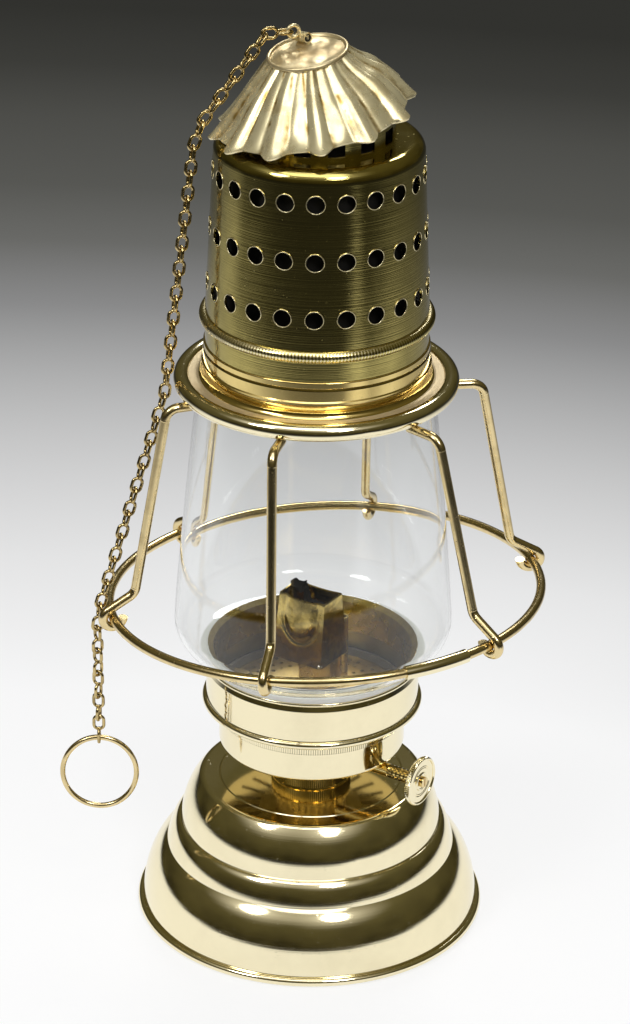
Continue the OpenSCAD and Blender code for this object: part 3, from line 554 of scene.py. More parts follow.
def flank_painted_shade(tree, ridges):
    """Mask of painted shade that keeps to the flanks of so many ridges round the leaning crown, broken up
    by noise.
    """
    slant = 0.17
    coords = object_coords(tree)
    axes = split_axes(tree, coords)
    across = maths(tree, "ADD", maths(tree, "MULTIPLY", axes["Z"], slant), axes["X"])
    across = maths(tree, "ADD", across, (-CROWN_SHIFT - slant * CROWN_Z) * MM)
    way = maths(tree, "SUBTRACT", maths(tree, "ARCTAN2", axes["Y"], across), RIDGE_START)
    flank = maths(tree, "ABSOLUTE", maths(tree, "COSINE", maths(tree, "MULTIPLY", way, ridges)))
    broken = ramp_between(tree, noise_at(tree, coords, 190.0), 0.40, 0.62)
    return maths(tree, "MULTIPLY", ramp_between(tree, flank, 0.5, 0.1), broken)


def polished_brass():
    """Bright, lightly brushed brass of the turned pieces."""
    return brass("brass_polished", finish().polished, finish().tarnish, patch_scale=55.0,
                 patch_amount=0.10, line_height=0.5, smooth=0.09, dull=0.15, bump=0.05)


def gold_reflection_brass():
    """Deeper, yellow brass of the screw collar, the sleeve, the flange's wall and the hem; the deeper
    yellow is painted to stand for brass reflected in brass.
    """
    return brass("brass_gold", (0.90, 0.70, 0.28), (0.50, 0.34, 0.10), patch_scale=80.0,
                 patch_amount=0.4, dull=0.15, bump=0.05)


def cup_brass():
    """Bright brass of the burner cup, with painted shade, a darker golden colour, on its underside."""
    return brass("brass_cup", finish().polished, finish().tarnish, patch_scale=55.0, patch_amount=0.10,
                 specks=0.25, smooth=0.085, dull=0.15, bump=0.05, under=(0.54, 0.41, 0.15))


def milled_brass():
    """Rough, pale brass of the hood's milled bead and burrs."""
    return brass("brass_milled", (0.90, 0.80, 0.50), finish().tarnish, patch_scale=200.0,
                 patch_amount=0.4, ripple_height=0.5, specks=0.2, smooth=0.26, dull=0.15)


def dark_groove_brass():
    """Dark, rough brass in the grooves of the milled and knurled pieces."""
    return brass("brass_groove_dirt", (0.22, 0.17, 0.07), (0.08, 0.06, 0.03), patch_scale=300.0,
                 patch_amount=0.5, ripple_height=0.5, specks=0.0, smooth=0.4)


def dusty_brass():
    """Dull, dusty top of the flange."""
    return brass("brass_dusty", (0.66, 0.54, 0.33), (0.48, 0.36, 0.18), ripple_height=0.8, specks=0.6,
                 smooth=0.36, bump=0.2, metallic=0.6)


def hood_brass():
    """Darker brass of the hood, with turning lines."""
    return brass("brass_hood_turned", finish().hood, (0.16, 0.13, 0.04), patch_scale=32.0,
                 line_height=1.6, specks=0.35, smooth=0.075, dull=0.14, bump=0.09)


def crown_brass():
    """Pale, worn crown with painted shade on the ridges' flanks."""
    return brass("brass_crown_worn", finish().crown, (0.50, 0.36, 0.13), patch_scale=150.0,
                 ripple_height=1.5, smooth=0.25, dull=0.12, bump=0.3, metallic=0.7,
                 shaded_ridges=sizes().flute_count)


def disc_brass():
    """Dull disc in the crown."""
    return brass("brass_disc_worn", (0.80, 0.67, 0.40), (0.42, 0.29, 0.12), patch_scale=130.0,
                 patch_amount=0.8, ripple_height=1.5, smooth=0.33, dull=0.15, bump=0.4, metallic=0.8)


def smoked_brass():
    """Smoked inside of the globe's neck."""
    return brass("brass_neck_smoked", (0.50, 0.38, 0.11), (0.16, 0.12, 0.035), patch_amount=0.7,
                 line_height=1.2, ripple_height=0.8, smooth=0.26, bump=0.3)


def wire_brass():
    """Drawn wire of the guard and the ring."""
    return brass("brass_drawn_wire", (0.78, 0.63, 0.34), finish().tarnish, patch_scale=120.0,
                 patch_amount=0.45, smooth=0.19, bump=0.15)


def chain_brass():
    """Aged brass of the chain and the collar's seam."""
    return brass("brass_aged_chain", finish().chain, (0.12, 0.08, 0.03), patch_scale=260.0,
                 patch_amount=0.7, ripple_height=0.5, specks=0.0, smooth=0.17, bump=0.15)


def burner_brass():
    """Browned brass of the burner and the font's base plate."""
    return brass("brass_burner_heat", (0.62, 0.48, 0.20), (0.16, 0.12, 0.05), patch_amount=0.7,
                 ripple_height=0.8, smooth=0.22, dull=0.25, bump=0.2)


def deflector_brass():
    """Mottled sheet of the flame deflector."""
    return brass("brass_deflector", (0.66, 0.50, 0.17), (0.13, 0.10, 0.04), patch_scale=150.0,
                 patch_amount=0.85, ripple_height=2.6, specks=0.2, smooth=0.12, bump=0.35)


def plate_brass():
    """Dull brass of the air plate."""
    return brass("brass_air_plate", (0.46, 0.34, 0.13), (0.14, 0.10, 0.04), patch_amount=0.7,
                 ripple_height=0.8, smooth=0.40, bump=0.2)


def inside_brass():
    """Dull insides of the collar and the flange."""
    return brass("brass_inside_dull", (0.46, 0.38, 0.17), (0.14, 0.11, 0.05), patch_scale=60.0,
                 line_height=1.0, smooth=0.28, bump=0.25)


def sooty_shade():
    """Black on the insides of the hood, the liner and the eye's tube: painted shade, and sooty in part,
    with a dry, flaky grain.
    """
    name = "soot_dry"
    if name in bpy.data.materials:
        return bpy.data.materials[name]
    material, tree, shader = new_material(name)
    flakes = noise_at(tree, object_coords(tree), 400.0, 6.0)
    colour = colour_mix(tree, flakes, (0.004, 0.0035, 0.003), (0.018, 0.016, 0.012))
    feed(tree, colour, shader.inputs["Base Color"])
    feed(tree, ramp_between(tree, flakes, -0.8, 1.0), shader.inputs["Roughness"])
    return material


def clear_glass():
    """Clear blown glass with faint ripples. Light passes it without a hard shadow."""
    name = "glass_blown"
    if name in bpy.data.materials:
        return bpy.data.materials[name]
    material, tree, shader = new_material(name)
    shader.inputs["Base Color"].default_value = (0.985, 0.992, 0.99, 1.0)
    shader.inputs["Roughness"].default_value = 0.0
    shader.inputs["IOR"].default_value = 1.45
    shader.inputs["Specular IOR Level"].default_value = 0.25
    shader.inputs["Transmission Weight"].default_value = 1.0
    bumps = node(tree, "ShaderNodeBump")
    bumps.inputs["Strength"].default_value = 0.05
    bumps.inputs["Distance"].default_value = 0.001
    ripples = noise_at(tree, object_coords(tree), 26.0, 2.0, 0.5, (1.0, 1.0, 0.5))
    feed(tree, ripples, bumps.inputs["Height"])
    feed(tree, bumps.outputs["Normal"], shader.inputs["Normal"])
    clear = node(tree, "ShaderNodeBsdfTransparent")
    clear.inputs["Color"].default_value = (0.95, 0.96, 0.95, 1.0)
    path = node(tree, "ShaderNodeLightPath").outputs
    through = maths(tree, "MAXIMUM", path["Is Shadow Ray"], path["Is Diffuse Ray"])
    mix_surface(tree, through, shader.outputs["BSDF"], clear.outputs["BSDF"], "Material Output")
    return material


def grainy(name, roughness, scale, detail, dark, pale):
    """Matt finish with a fine grain between two colours."""
    if name in bpy.data.materials:
        return bpy.data.materials[name]
    material, tree, shader = new_material(name)
    shader.inputs["Roughness"].default_value = roughness
    grains = noise_at(tree, object_coords(tree), scale, detail)
    feed(tree, colour_mix(tree, grains, dark, pale), shader.inputs["Base Color"])
    return material


def plaster():
    """Pale plaster round the foot of the glass."""
    return grainy("plaster_pale", roughness=0.7, scale=160.0, detail=5.0,
                  dark=(0.80, 0.78, 0.73), pale=(0.93, 0.92, 0.89))


def cement():
    """Dark, matt cement of the globe's seals."""
    return grainy("cement_seal", roughness=0.85, scale=500.0, detail=6.0,
                  dark=(0.07, 0.06, 0.045), pale=(0.16, 0.14, 0.11))


def wick_cotton():
    """Cotton weave, charred towards the top."""
    name = "cotton_wick"
    if name in bpy.data.materials:
        return bpy.data.materials[name]
    material, tree, shader = new_material(name)
    shader.inputs["Roughness"].default_value = 0.95
    coords = object_coords(tree)
    axes = split_axes(tree, coords)
    weave = noise_at(tree, coords, 700.0, 3.0, 0.6, (1.0, 1.0, 0.35))
    cloth = colour_mix(tree, weave, (0.42, 0.36, 0.25), (0.72, 0.65, 0.5))
    ragged = maths(tree, "ADD", axes["Z"], maths(tree, "MULTIPLY", weave, 0.008))
    char = ramp_between(tree, ragged, 0.098, 0.106)
    feed(tree, colour_mix(tree, char, cloth, (0.012, 0.01, 0.008)), shader.inputs["Base Color"])
    return material


def spur_steel():
    """Plain steel of the spur wheels."""
    return brass("steel_spur", (0.48, 0.46, 0.43), (0.2, 0.16, 0.12), patch_scale=200.0,
                 patch_amount=0.5, ripple_height=0.5, specks=0.0, smooth=0.3, bump=0.2)


def solder():
    """Soft, pale solder on the deflector's corner."""
    return brass("solder_soft", (0.86, 0.84, 0.78), (0.5, 0.46, 0.38), patch_scale=300.0,
                 patch_amount=0.4, specks=0.0, smooth=0.22, bump=0.2)


class LANTERN_OT_font(bpy.types.Operator):
    """Spun oil font with its rolled rim, steps and dome"""

    bl_idname = "lantern.font"
    bl_label = "Oil font"

    def execute(self, context):
        wall, rim = 0.8, 1.3
        radius = sizes().font_radius
        step, foot, neck = 44.7, 40.3, 9.85
        slope, shoulder = 40.0, 2.5
        bell = oval((radius - 1.7, 2 * rim - 0.5), (step, STEP_Z), 62, 30)
        ring = self.leaning((step, STEP_Z), (foot + 0.6, DOME_Z - 0.25), 36, 80, 18)
        ledge = [(foot + 0.25, DOME_Z - 0.2), (foot, DOME_Z)]
        dome = bowed((foot, DOME_Z), 4.7, 2, 13, 10)
        shoulder_z = DOME_TOP - shoulder * (1 - math.sin(math.radians(slope)))
        dome += bowed(dome[-1], shoulder_z - dome[-1][1], 13, slope, 22)[1:]
        centre = dome[-1][0] - shoulder * math.cos(math.radians(slope))
        dome += arc((centre, DOME_TOP - shoulder), shoulder, slope, 90, 20)[1:]
        flat = [(28.6, DOME_TOP), (28.3, DOME_TOP - 0.25), (28.0, DOME_TOP), (neck, DOME_TOP)]
        outer = bell + ring[1:] + ledge + dome[1:] + flat
        inner = offset(outer, wall)
        inner[-1] = (neck, DOME_TOP - wall)
        bm = spin_profile(outer + inner[::-1])
        join_bmesh(bm, spin_profile(arc((radius - rim, rim), rim, 0, 342, 19)))
        make_piece("font_body", bm, "font", [polished_brass()], ["font_shell"], 28)
        return {"FINISHED"}

    def leaning(self, start, end, lean, turned, count):
        """Oval stretch that starts leaning by so many degrees."""
        low, high = math.radians(lean), math.radians(turned)
        wide = (end[0] - start[0]) / (math.cos(low) - math.cos(high))
        tall = (end[1] - start[1]) / (math.sin(high) - math.sin(low))
        points = []
        for i in range(count + 1):
            t = low + (high - low) * i / count
            points.append((start[0] + wide * (math.cos(low) - math.cos(t)),
                           start[1] + tall * (math.sin(t) - math.sin(low))))
        return points


class LANTERN_OT_burner(bpy.types.Operator):
    """Milled collars, thumb knob, flame deflector and the burnt wick"""

    bl_idname = "lantern.burner"
    bl_label = "Burner"

    def execute(self, context):
        self.neck()
        self.grip()
        self.sleeve()
        self.knob()
        self.deflector()
        self.wick()
        return {"FINISHED"}

    def neck(self):
        """Milled screw collar on the font."""
        steps, inside, outside = 240, 9.05, 12.3
        foot, top = DOME_TOP + 0.02, 49.98
        outline = [(inside, foot), (outside, foot)]
        outline += [(outside, z) for z in (45.6, 46.4, 47.4, 48.4, 49.3)]
        outline += [(12.0, top), (inside, top)]
        bm = spin_profile(outline, steps)
        mill(bm, steps, 45.5, 49.5, 0.35, 12.0, 1)
        make_piece("screw_collar_milled", bm, "font", [gold_reflection_brass(), dark_groove_brass()],
                   ["font_screw_collar"], 60)

    def grip(self):
        """Milled edge round the burner cup."""
        steps = 520
        outline = [(28.62, 67.0), (29.02, 67.0), (29.1, 67.2), (29.1, 68.8), (29.02, 69.0), (28.62, 69.0)]
        bm = spin_profile(outline, steps)
        mill(bm, steps, 67.05, 68.95, 0.25, 28.8, 1)
        make_piece("cup_milled_edge", bm, "burner",
                   [polished_brass(), dark_groove_brass()], (), 60)

    def sleeve(self):
        """Knurled sleeve of the wick spindle."""
        steps, low, high, pitch = 24, 29.5, 38.2, 0.7
        rows = round((high - low) / pitch)
        outline = [(1.08, 9.0), (1.9, 9.0)] + [(2.1, low + pitch * k) for k in range(rows + 1)]
        bm = spin_profile(outline + [(1.85, 38.5), (1.08, 38.5)], steps)
        for v in bm.verts:
            r = math.hypot(v.co.x, v.co.y)
            cell = round(column(v.co, steps)) + round((v.co.z / MM - low) / pitch)
            if low * MM < v.co.z < high * MM and r > 1.8 * MM and cell % 2:
                press_in(v, 0.3)
        for face in bm.faces:
            middle = face.calc_center_median()
            row = math.floor((middle.z / MM - low) / pitch)
            cell = math.floor(column(middle, steps)) + row
            if 0 <= row < rows and middle.to_2d().length > 1.4 * MM and cell % 2:
                face.material_index = 1
        move(bm, burner_matrix(0))
        make_piece("sleeve_knurled", bm, "burner", [gold_reflection_brass(), dark_groove_brass()],
                   ["spindle_sleeve"], 15)

    def knob(self):
        """Thumb knob with a milled rim, two raised rings and a hub."""
        steps = 144
        back = [(1.03, 0.0), (2.4, 0.0), (2.7, 0.3), (3.1, 1.0), (6.3, 1.0), (6.5, 0.5), (7.3, 0.45)]
        rim = [(7.55, 0.7), (7.7, 1.0), (7.7, 1.4), (7.7, 1.9), (7.55, 2.2), (7.3, 2.4), (7.0, 2.4)]
        rings = [(6.8, 2.2), (6.7, 2.0), (5.0, 2.0), (4.85, 2.12), (4.7, 2.0), (4.4, 2.0), (4.25, 2.12)]
        hub = [(4.1, 2.0), (3.0, 2.0), (2.85, 2.2), (2.6, 2.3), (2.3, 2.2), (2.2, 2.05), (1.03, 2.05)]
        bm = spin_profile(back + rim + rings + hub, steps)
        mill(bm, steps, 0.8, 2.1, 0.22, 7.4)
        move(bm, burner_matrix(38.8))
        make_piece("knob_milled", bm, "wick_winder",
                   [polished_brass()], ["thumb_knob"], 30)

    def deflector(self):
        """Folded box with an embossed shield, a saddle lip and a spot of solder."""
        wide, deep, tall = 16.4, 14.0, 20.5
        mouth_wide, mouth_deep, sheet = 15.4, 8.6, 0.45
        bm = standing_box(wide, deep, tall)
        bm.faces.ensure_lookup_table()
        floor = min(bm.faces, key=lambda f: f.calc_center_median().z)
        lid = max(bm.faces, key=lambda f: f.calc_center_median().z)
        bmesh.ops.inset_region(bm, faces=[floor], thickness=2.4)
        bmesh.ops.delete(bm, geom=[lid, floor], context="FACES")
        bmesh.ops.subdivide_edges(bm, edges=edges_along(bm, 2), cuts=31)
        across = [e for e in edges_along(bm, 0) if min(abs(v.co.y) for v in e.verts) > 6]
        bmesh.ops.subdivide_edges(bm, edges=across, cuts=31)
        for v in bm.verts:
            up = v.co.z / tall
            front = v.co.y < -deep / 2 + 0.01
            if front and abs(v.co.x) < wide / 2 - 0.5:
                v.co.y -= self.shield(v.co.x, v.co.z)
            v.co.z -= 0.5 * max(up - 0.6, 0.0) / 0.4 * (1 - (2 * v.co.x / wide) ** 2)
            v.co.x *= 1 - up * (1 - mouth_wide / wide)
            v.co.y *= 1 - up * (1 - mouth_deep / deep)
        lip = [e for e in bm.edges if e.is_boundary and e.verts[0].co.z > 10]
        made = bmesh.ops.extrude_edge_only(bm, edges=lip)["geom"]
        for v in (g for g in made if isinstance(g, bmesh.types.BMVert)):
            v.co.y += math.copysign(0.55, v.co.y)
            v.co.x += math.copysign(0.3, v.co.x) if abs(v.co.x) > 7 else 0.0
            v.co.z += 0.15
        bmesh.ops.recalc_face_normals(bm, faces=bm.faces)
        bmesh.ops.solidify(bm, geom=bm.faces[:], thickness=sheet)
        bmesh.ops.scale(bm, vec=(MM, MM, MM), verts=bm.verts)
        seat = Matrix.Translation(Vector((-1.6, WICK_SET - 2.0, DEFLECTOR_Z)) * MM)
        place = TO_BURNER @ seat
        move(bm, place)
        bmesh.ops.recalc_face_normals(bm, faces=bm.faces)
        make_piece("deflector_folded", bm, "burner",
                   [deflector_brass()], ["flame_deflector"], 40)
        spot = bmesh.new()
        corner = place @ (Vector((wide / 2 - 0.2, -deep / 2 + 0.1, 0.3)) * MM)
        bmesh.ops.create_icosphere(spot, subdivisions=3, radius=0.8 * MM, matrix=Matrix.Translation(corner))
        make_piece("deflector_solder", spot, "burner", [solder()], (), 60)

    def shield(self, x, z):
        """Height of the embossed shield on the deflector's face, round at its foot."""
        away = math.hypot(x / 5.6, min(z - 14.0, 0.0) / 7.0)
        bulge = clamped((1.0 - away) / 0.22)
        groove = math.exp(-((away - 1.12) / 0.09) ** 2)
        return 0.8 * bulge - 0.4 * groove

    def wick(self):
        """Flat wick with a torn top and a burnt end that lies in the deflector's mouth."""
        low, high, wide, thick, drop = 5.8, 108.0, 9.5, 2.2, 5.4
        bm = standing_box(wide, thick, high - low)
        bmesh.ops.translate(bm, vec=(0, WICK_SET, low), verts=bm.verts)
        bmesh.ops.subdivide_edges(bm, edges=edges_along(bm, 0), cuts=11)
        for v in bm.verts:
            if v.co.z > 50:
                torn = 0.8 * noise.noise(Vector((v.co.x * 0.9, 3.0, 0)))
                v.co.z -= drop * clamped((v.co.x + wide / 2) / 1.2) - torn
        join_bmesh(bm, self.burnt_end())
        bmesh.ops.scale(bm, vec=(MM, MM, MM), verts=bm.verts)
        move(bm, TO_BURNER)
        bmesh.ops.recalc_face_normals(bm, faces=bm.faces)
        make_piece("wick_burnt", bm, "wick_strip", [wick_cotton()], ["wick"], 60)

    def burnt_end(self):
        """Bmesh of the charred lump, thinner at its free end."""
        tip = bmesh.new()
        bmesh.ops.create_cube(tip, size=1.0)
        bmesh.ops.subdivide_edges(tip, edges=tip.edges[:], cuts=9, use_grid_fill=True)
        for v in tip.verts:
            p = Vector((v.co.x, v.co.y * 0.9, v.co.z))
            ragged = 1.1 * noise.noise(p * 3.1 + Vector((4, 1, 7))) + 0.9 * noise.noise(p * 8.0)
            along = v.co.x + 0.5
            size = 1.0 - 0.35 * (1 - along)
            x = -7.3 + 3.4 * along + 0.5 * ragged
            y = -1.1 + 2.4 * along ** 1.2 + (v.co.y * 2.0 + 0.35 * ragged) * size
            z = 109.1 - 0.9 * along + 0.7 * math.sin(6.0 * along) + (v.co.z * 2.6 + 0.8 * ragged) * size
            v.co = Vector((x, y, z))
        return tip


class LANTERN_OT_globe(bpy.types.Operator):
    """Globe collar with its seam and lining, clear globe and top flange"""

    bl_idname = "lantern.globe"
    bl_label = "Globe"

    def execute(self, context):
        self.collar()
        self.glass()
        self.flange()
        return {"FINISHED"}

    def collar(self):
        """Collar with a rolled lip, and the sleeve that goes down into the burner cup."""
        inside, outside = 31.9, 32.6
        sleeve, skin = 27.12, 27.82
        outline = [(sleeve, 65.0), (skin, 65.0), (skin, CUP_TOP), (32.0, CUP_TOP)]
        outline += arc((32.6, CUP_TOP + 1.2), 1.2, -100, 84, 16)
        outline += [(outside, CUP_TOP + 2.6), (outside, COLLAR_TOP - 2.7)]
        outline += [(outside + 0.2, COLLAR_TOP - 2.5), (outside + 0.2, COLLAR_TOP - 2.3)]
        outline += [(outside - 0.35, COLLAR_TOP - 0.75)]
        outline += arc((inside + 0.65, COLLAR_TOP + 0.1), 0.65, -80, 180, 14)
        outline += [(inside, CUP_TOP + 0.7), (sleeve, CUP_TOP + 0.7)]
        bm = spin_profile(outline)
        line_inside(bm, -1e-6)
        make_piece("globe_collar_rolled", bm, "globe_frame",
                   [polished_brass(), inside_brass()], ["globe_collar"], 40)
        self.seam(outside)
        self.lining()

    def seam(self, radius):
        """Wandering solder line down the collar's joint."""
        points = []
        for i in range(60):
            u = i / 59
            sway = 0.02 * noise.noise(Vector((u * 9.0, 0.3, 0)))
            sway += 0.012 * noise.noise(Vector((u * 30, 2, 0)))
            way = math.radians(-143.0) + sway
            z = CUP_TOP + 2.2 + (COLLAR_TOP - CUP_TOP - 3.4) * u
            points.append((radius * math.cos(way), radius * math.sin(way), z))
        make_piece("collar_seam", rod_bmesh(points, 0.3, 8), "globe_frame",
                   [chain_brass()], (), 60)

    def lining(self):
        """Lining inside the globe's neck, smoked on its inside, and a fillet of plaster under the bowl."""
        outside = [(30.05, 80.0), (30.05, 87.0), (30.6, 89.4), (32.2, 90.65)]
        inside = [(32.1, 90.8), (30.45, 89.6), (29.9, 87.0)]
        bm = spin_profile([(29.9, 80.0)] + outside + inside)
        line_inside(bm, 1e-6)
        fillet = [(31.35, 85.0), (31.85, 85.0), (33.3, 87.75), (34.5, 89.25), (31.95, 89.25), (31.35, 87.0)]
        join_bmesh(bm, spin_profile(fillet))
        make_piece("neck_lining", bm, "globe_frame", [plaster(), smoked_brass()], (), 40)

    def glass(self):
        """Blown globe: straight foot, round shoulder and a side that narrows to the top."""
        foot, waist_z, widest, top = 31.2, GLASS_Z + 26.0, 42.2, 35.2
        neck_z = GLASS_Z + 13.0
        shoulder = oval((widest, waist_z), (foot + 0.6, neck_z + 2.4), 84, 24)[::-1]
        side = []
        for i in range(1, 25):
            u = i / 24
            side.append((widest - (widest - top) * u ** 1.15, waist_z + (GLASS_TOP - waist_z) * u))
        outer = [(foot, GLASS_Z), (foot, neck_z - 3.0), (foot, neck_z)] + shoulder + side
        inner = offset(outer, sizes().glass_wall)
        inner[0] = (inner[0][0], GLASS_Z)
        inner[-1] = (inner[-1][0], GLASS_TOP)
        bm = spin_profile(outer + inner[::-1])
        make_piece("globe_blown", bm, "globe_frame", [clear_glass()], ["glass_globe"], 50)

    def flange(self):
        """Rolled flange with its bead, wall and inner sleeve."""
        inside, sleeve, wall = 31.52, 32.22, 33.6
        bead = 2.6
        middle = (42.3 - bead, FLANGE_BEAD_Z)
        outline = [(inside, FLANGE_Z), (38.0, FLANGE_Z)]
        outline += arc(middle, bead, 190, 490, 32)
        outline += [(37.8, FLANGE_TOP + 0.05), (36.4, FLANGE_TOP)]
        outline += arc((wall + 2.2, FLANGE_TOP + 2.2), 2.2, 270, 180, 10)
        outline += [(wall, 184.2), (wall + 0.35, 184.6), (wall + 0.35, 185.4), (wall, 185.8)]
        outline += [(wall, HEM_Z - 0.6), (wall - 0.3, HEM_Z), (sleeve, HEM_Z)]
        outline += [(sleeve, HEM_Z + 7.5), (inside, HEM_Z + 7.5)]
        bm = spin_profile(outline)
        for face in bm.faces:
            middle = face.calc_center_median()
            if looks_out(face) < -1e-6 and middle.to_2d().length < 0.033:
                face.material_index = 1
            elif face.normal.z > 0.9 and 0.0345 < middle.to_2d().length < 0.0385:
                face.material_index = 2
            elif FLANGE_TOP * MM < middle.z < HEM_Z * MM and middle.to_2d().length < 0.036:
                face.material_index = 3
        make_piece("top_flange_rolled", bm, "globe_frame",
                   [polished_brass(), inside_brass(), dusty_brass(), gold_reflection_brass()], ["top_flange"], 40)


class LANTERN_OT_hood(bpy.types.Operator):
    """Turned hood with three rows of burred air holes"""

    bl_idname = "lantern.hood"
    bl_label = "Hood"

    def execute(self, context):
        per_hole = 8
        count = sizes().hole_count
        steps = per_hole * count
        start = math.radians(-91.5)
        first, pitch = HEM_Z + 21.0, 17.2
        rows = [first + pitch * k for k in range(3)]
        half = 3
        levels = {HEM_Z + 11.3}
        for z in rows:
            levels.update(z + HOLE_CELL * k for k in range(-half - 1, half + 2))
        levels = sorted(levels) + [HOOD_TOP - 4.0]
        outline = [(HOOD_RADIUS, HEM_Z)] + [(self.radius(z), z) for z in levels]
        outline += arc((26.6, HOOD_TOP - 4.0), 4.0, 0, 90, 10)[1:] + [(24.0, HOOD_TOP), (21.3, HOOD_TOP)]
        bm = spin_profile(outline, steps, start, closed=False)
        for face in bm.faces:
            middle = face.calc_center_median()
            if face.normal.x * middle.x + face.normal.y * middle.y + face.normal.z * 0.01 < 0:
                face.normal_flip()
        self.open_holes(bm, rows, count, start, half, steps)
        bmesh.ops.solidify(bm, geom=bm.faces[:], thickness=0.0007)
        bm.normal_update()
        # Faces that look in or down get the second, black finish: painted shade inside the hood.
        for face in bm.faces:
            middle = face.calc_center_median()
            outward = face.normal.x * middle.x + face.normal.y * middle.y
            if outward < -0.3 * math.hypot(middle.x, middle.y) or face.normal.z < -0.5:
                face.material_index = 1
        make_piece("hood_pierced", bm, "hood", [hood_brass(), sooty_shade()], ["hood_shell"], 45)
        self.bead()
        self.rims(rows, count, start)
        return {"FINISHED"}

    def radius(self, z):
        """Outside radius at a height. It narrows above the bead."""
        taper, rise = 2.4, 51.2
        return HOOD_RADIUS - taper * max(z - HOOD_BEAD_Z, 0.0) / rise

    def places(self, rows, count, start):
        """Height and outward way of each hole."""
        for z in rows:
            for i in range(count):
                way = start + i * TURN / count
                yield z, Vector((math.cos(way), math.sin(way), 0))

    def open_holes(self, bm, rows, count, start, half, steps):
        """Cuts a square of faces at each hole and bridges it to a round edge."""
        step = TURN / steps
        hole = sizes().hole_radius * MM
        for z, out in self.places(rows, count, start):
            side = Vector((-out.y, out.x, 0))
            middle = out * (self.radius(z) * MM) + UP * (z * MM)
            near = []
            for face in bm.faces:
                c = face.calc_center_median() - middle
                if c.length < 0.006 and abs(c.z) < half * HOLE_CELL * MM:
                    around = math.atan2((c + middle).dot(side), (c + middle).dot(out))
                    if abs(around) < half * step:
                        near.append(face)
            ring = {e for f in near for e in f.edges if sum(g in near for g in e.link_faces) == 1}
            bmesh.ops.delete(bm, geom=near, context="FACES")
            turned = Matrix((side, UP, side.cross(UP))).transposed().to_4x4()
            made = bmesh.ops.create_circle(bm, segments=8 * half, radius=hole,
                                           matrix=Matrix.Translation(middle) @ turned)["verts"]
            for v in made:
                across = (v.co - middle).dot(side)
                deep = math.sqrt((self.radius(v.co.z / MM) * MM) ** 2 - across ** 2)
                v.co = side * across + out * deep + UP * v.co.z
            edges = {e for v in made for e in v.link_edges}
            bmesh.ops.bridge_loops(bm, edges=[e for e in ring if e.is_valid] + list(edges))
        bmesh.ops.recalc_face_normals(bm, faces=bm.faces)

    def bead(self):
        """Milled bead and the plain hem under it."""
        steps = 432
        z = HOOD_BEAD_Z
        outline = arc((HOOD_RADIUS, z), 1.7, -80, 80, 14) + [(32.7, z + 1.6), (32.7, z - 1.6)]
        bm = spin_profile(outline, steps)
        mill(bm, steps, z - 1.5, z + 1.5, 0.3, 33.2, 1)
        hem = [(HOOD_RADIUS, 0.0), (33.4, 0.15), (33.4, 1.7), (33.2, 2.0), (32.9, 2.0), (32.9, 0.0)]
        band = spin_profile([(r, HEM_Z + rise) for r, rise in hem], 192)
        for face in band.faces:
            face.material_index = 2
        join_bmesh(bm, band)
        make_piece("hood_milled_bead", bm, "hood",
                   [milled_brass(), hood_brass(), gold_reflection_brass()], (), 70)

    def rims(self, rows, count, start):
        """Bright burr round each hole, bent to the hood's wall."""
        bm = bmesh.new()
        for z, out in self.places(rows, count, start):
            side = out.cross(UP)
            middle = out * ((self.radius(z) + 0.02) * MM) + UP * (z * MM)
            edge = Matrix.Translation(middle + UP * ((sizes().hole_radius + 0.06) * MM))
            turned = side.to_track_quat("Z", "Y").to_matrix().to_4x4()
            before = set(bm.verts)
            wire_loop(bm, edge @ turned, 6, 0.15, middle, out, 20)
            for v in set(bm.verts) - before:
                across = (v.co - middle).dot(side)
                v.co -= out * (across ** 2 / (2 * middle.to_2d().length))
        clean(bm)
        make_piece("hood_hole_burrs", bm, "hood", [milled_brass()], (), 70)


